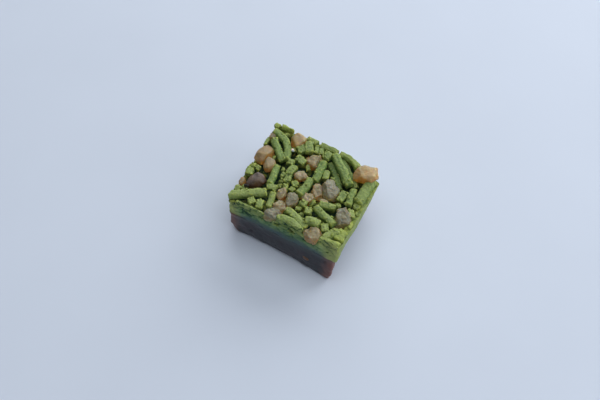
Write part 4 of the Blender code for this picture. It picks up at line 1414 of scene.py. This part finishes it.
def hollowed(points, seed, hollows=3):
    """Press round hollows into the sides of a piece, where smaller bits broke out of it."""
    dice = np.random.default_rng(round(seed) + 1)
    middle = points.mean(axis=0)
    for facing in dice.normal(size=(hollows, 3)) * (1.0, 1.0, 0.5):
        facing /= np.linalg.norm(facing)
        reach = ((points - middle) @ facing).max()
        away = np.linalg.norm(points - middle - facing * reach * HOLLOW_PLACE, axis=1)
        points = points - facing * np.maximum(HOLLOW_SIZE * reach - away, 0.0)[:, None]
    return points


def rough_copy(name, node, seed):
    """A finely divided copy of a solid chestnut piece, glazed or crumbled."""
    crumbled = SMOOTH if node.removeprefix("chestnut_") in SMOOTH_PIECES else CRUMBLED
    crumbled = HALF_CRUMBLED if node == "chestnut_corner" else crumbled
    obj = bpy.data.objects.new(name, frame["nodes"][node].data.copy())
    bpy.context.scene.collection.objects.link(obj)
    remesh = obj.modifiers.new("remesh", "REMESH")
    remesh.mode, remesh.voxel_size = "VOXEL", CHESTNUT_VOXEL * MM
    soften = obj.modifiers.new("soften", "SMOOTH")
    soften.factor, soften.iterations = 0.5, 10
    apply_modifiers(obj)
    points, out = places_and_ways(obj.data)
    points = broken_flat(points + out * SWELL * crumbled, seed, 0.8 - 0.6 * crumbled)
    points = hollowed(points, seed) if crumbled == CRUMBLED else points
    near, border, number = grains(points, 1.3, seed)
    blocks = 0.5 * (number - 0.5)
    near, border, number = grains(points, 0.6, seed + 2)
    push = 0.28 * lumps(points, 2.5, seed + 3) + 0.18 * (0.5 - near) + 0.10 * lumps(points, 0.9, seed + 4)
    push = push * (0.25 + 0.75 * crumbled) + crumbled * blocks
    points = behind_wall(points + out * push[:, None])
    obj.data.vertices.foreach_set("co", (points * MM).astype(np.float32).ravel())
    obj.data.materials.clear()
    obj.data.update()
    obj.data.shade_smooth()
    # How much each point faces up, smoothed: the finish paints the parts that face sideways and down a
    # brighter orange, as painted light.
    here, there = neighbours(obj.data)
    facing = ramp(places_and_ways(obj.data)[1][:, 2], 0.1, 0.85)
    for turn in range(6):
        facing = np.bincount(here, facing[there], len(facing)) / np.bincount(here, minlength=len(facing))
    layer = obj.data.attributes.new("facing", "FLOAT", "POINT")
    layer.data.foreach_set("value", (1.0 + facing).astype(np.float32))
    return obj

# %% Candied chestnut, glazed
def candied_chestnut(name, flesh, painted_side_glow, grey, depth_mm, clear=0.55):
    """Chestnut in syrup: cloudy and translucent. Flesh is the colour of its top; the sides are painted a
    brighter orange, as painted light that has passed through the flesh.
    """
    material, tree, shader = new_material(name)
    where = add_node(tree, "ShaderNodeTexCoord").outputs["Object"]
    cloud, mottle, crystals = (noise_at(tree, where, size) for size in (2.4, 0.9, 0.45))
    colour = blend(tree, slope(tree, cloud, 0.35, 0.65), flesh, grey)
    colour = blend(tree, slope(tree, mottle, 0.35, 0.65, 0.35), colour, "#b2aa98", "SOFT_LIGHT")
    # Painted light: the sides and undersides are painted a brighter orange, as if lit through the flesh.
    facing = calculate(tree, "ADD", value_of(tree, "facing"), calculate(tree, "MULTIPLY", cloud, 0.6))
    colour = blend(tree, slope(tree, facing, 1.0, 0.5, 0.9), colour, painted_side_glow)
    colour = blend(tree, slope(tree, crystals, 0.58, 0.70, 0.4), colour, "#e2d3b4")
    tree.links.new(colour, shader.inputs["Base Color"])
    bumps = add_node(tree, "ShaderNodeBump", {"Strength": 0.4, "Distance": 0.12 * MM}, {"Height": crystals})
    tree.links.new(bumps.outputs["Normal"], shader.inputs["Normal"])
    shader.inputs["Roughness"].default_value = 0.5
    shader.inputs["IOR"].default_value = 1.45
    shader.inputs["Transmission Weight"].default_value = clear
    shader.inputs["Subsurface Weight"].default_value = 1.0
    shader.inputs["Subsurface Radius"].default_value = (1.0, 0.66, 0.36)
    shader.inputs["Subsurface Scale"].default_value = depth_mm * MM
    shader.inputs["Coat Weight"].default_value = 0.15
    shader.inputs["Coat Roughness"].default_value = 0.3
    return material


# How far the syrup went in decides the look: the flesh on top, the painted glow of the sides and duller
# patches.
CLEAR = candied_chestnut("candied_chestnut_clear", "#ecd29a", "#fbbe66", "#dfca98", 1.8)
SYRUPY = candied_chestnut("candied_chestnut_syrupy", "#d2b47c", "#eeb25a", "#c0a97e", 1.8)
CLOUDY = candied_chestnut("candied_chestnut_cloudy", "#dacb9c", "#ecb96c", "#c2b68e", 1.2)
MEALY = candied_chestnut("candied_chestnut_mealy", "#c0bc9c", "#d2bc80", "#b0ac92", 1.2)
BROWN = candied_chestnut("candied_chestnut_brown", "#96826f", "#8a6046", "#7d6f68", 1.2)
STAINED = candied_chestnut("candied_chestnut_stained", "#a07c62", "#966a4a", "#886854", 1.0)
CLEAR_PIECES = ("back", "centre_bit", "corner")
SYRUPY_PIECES = ("left_large", "left_edge")
MEALY_PIECES = ("centre_large", "front_grey", "right", "front_low")
BROWN_PIECES, STAINED_PIECES = ("dark",), ("in_base",)


def flesh_of(node):
    """The kind of flesh of a chestnut piece: most are cloudy, and the others are named above."""
    kinds = ((CLEAR_PIECES, CLEAR), (SYRUPY_PIECES, SYRUPY), (MEALY_PIECES, MEALY), (BROWN_PIECES, BROWN),
             (STAINED_PIECES, STAINED))
    return next((flesh for names, flesh in kinds if node.removeprefix("chestnut_") in names), CLOUDY)


def add_chestnut(name, node, seed):
    """A candied piece that dresses a solid one."""
    piece = rough_copy(name, node, seed)
    piece.data.materials.append(flesh_of(node))
    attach(piece, "root")
    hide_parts(node)
    return piece


total = 0
for index, node in enumerate(chestnut_nodes):
    piece = add_chestnut("candied_" + node, node, 60.0 + 5 * index)
    total += sum(len(face.vertices) - 2 for face in piece.data.polygons)
print("chestnut pieces:", len(chestnut_nodes), "triangles:", total)

# %% Two small bits
def add_bit(name, place, radius, node, colours):
    """A crumb of chestnut, or of its skin, stuck to what lies next to it."""
    bits = new_collection(name + "_layer")
    add_crumb(name, np.array(place), radius, 3, draw, bits)
    bit = bits.objects[0]
    bit.data.materials.append(candied_chestnut(name + "_flesh", *colours, 0.4, 0.0))
    bit.data.shade_smooth()
    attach(bit, "root")
    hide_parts(node)
    print(name, "lies at", [round(x / MM, 1) for x in bit.data.vertices[0].co])


PALE, SKIN = ("#fdf6f0", "#f6e8dc", "#fbf2ea"), ("#2b2126", "#221a1c", "#1c161a")
add_bit("candied_chestnut_fleck", (-12.0, 12.5, 21.4), 0.65, "chestnut_back", PALE)
add_bit("chestnut_skin", (-19.6, -9.9, 21.3), 0.9, "chestnut_dark", SKIN)
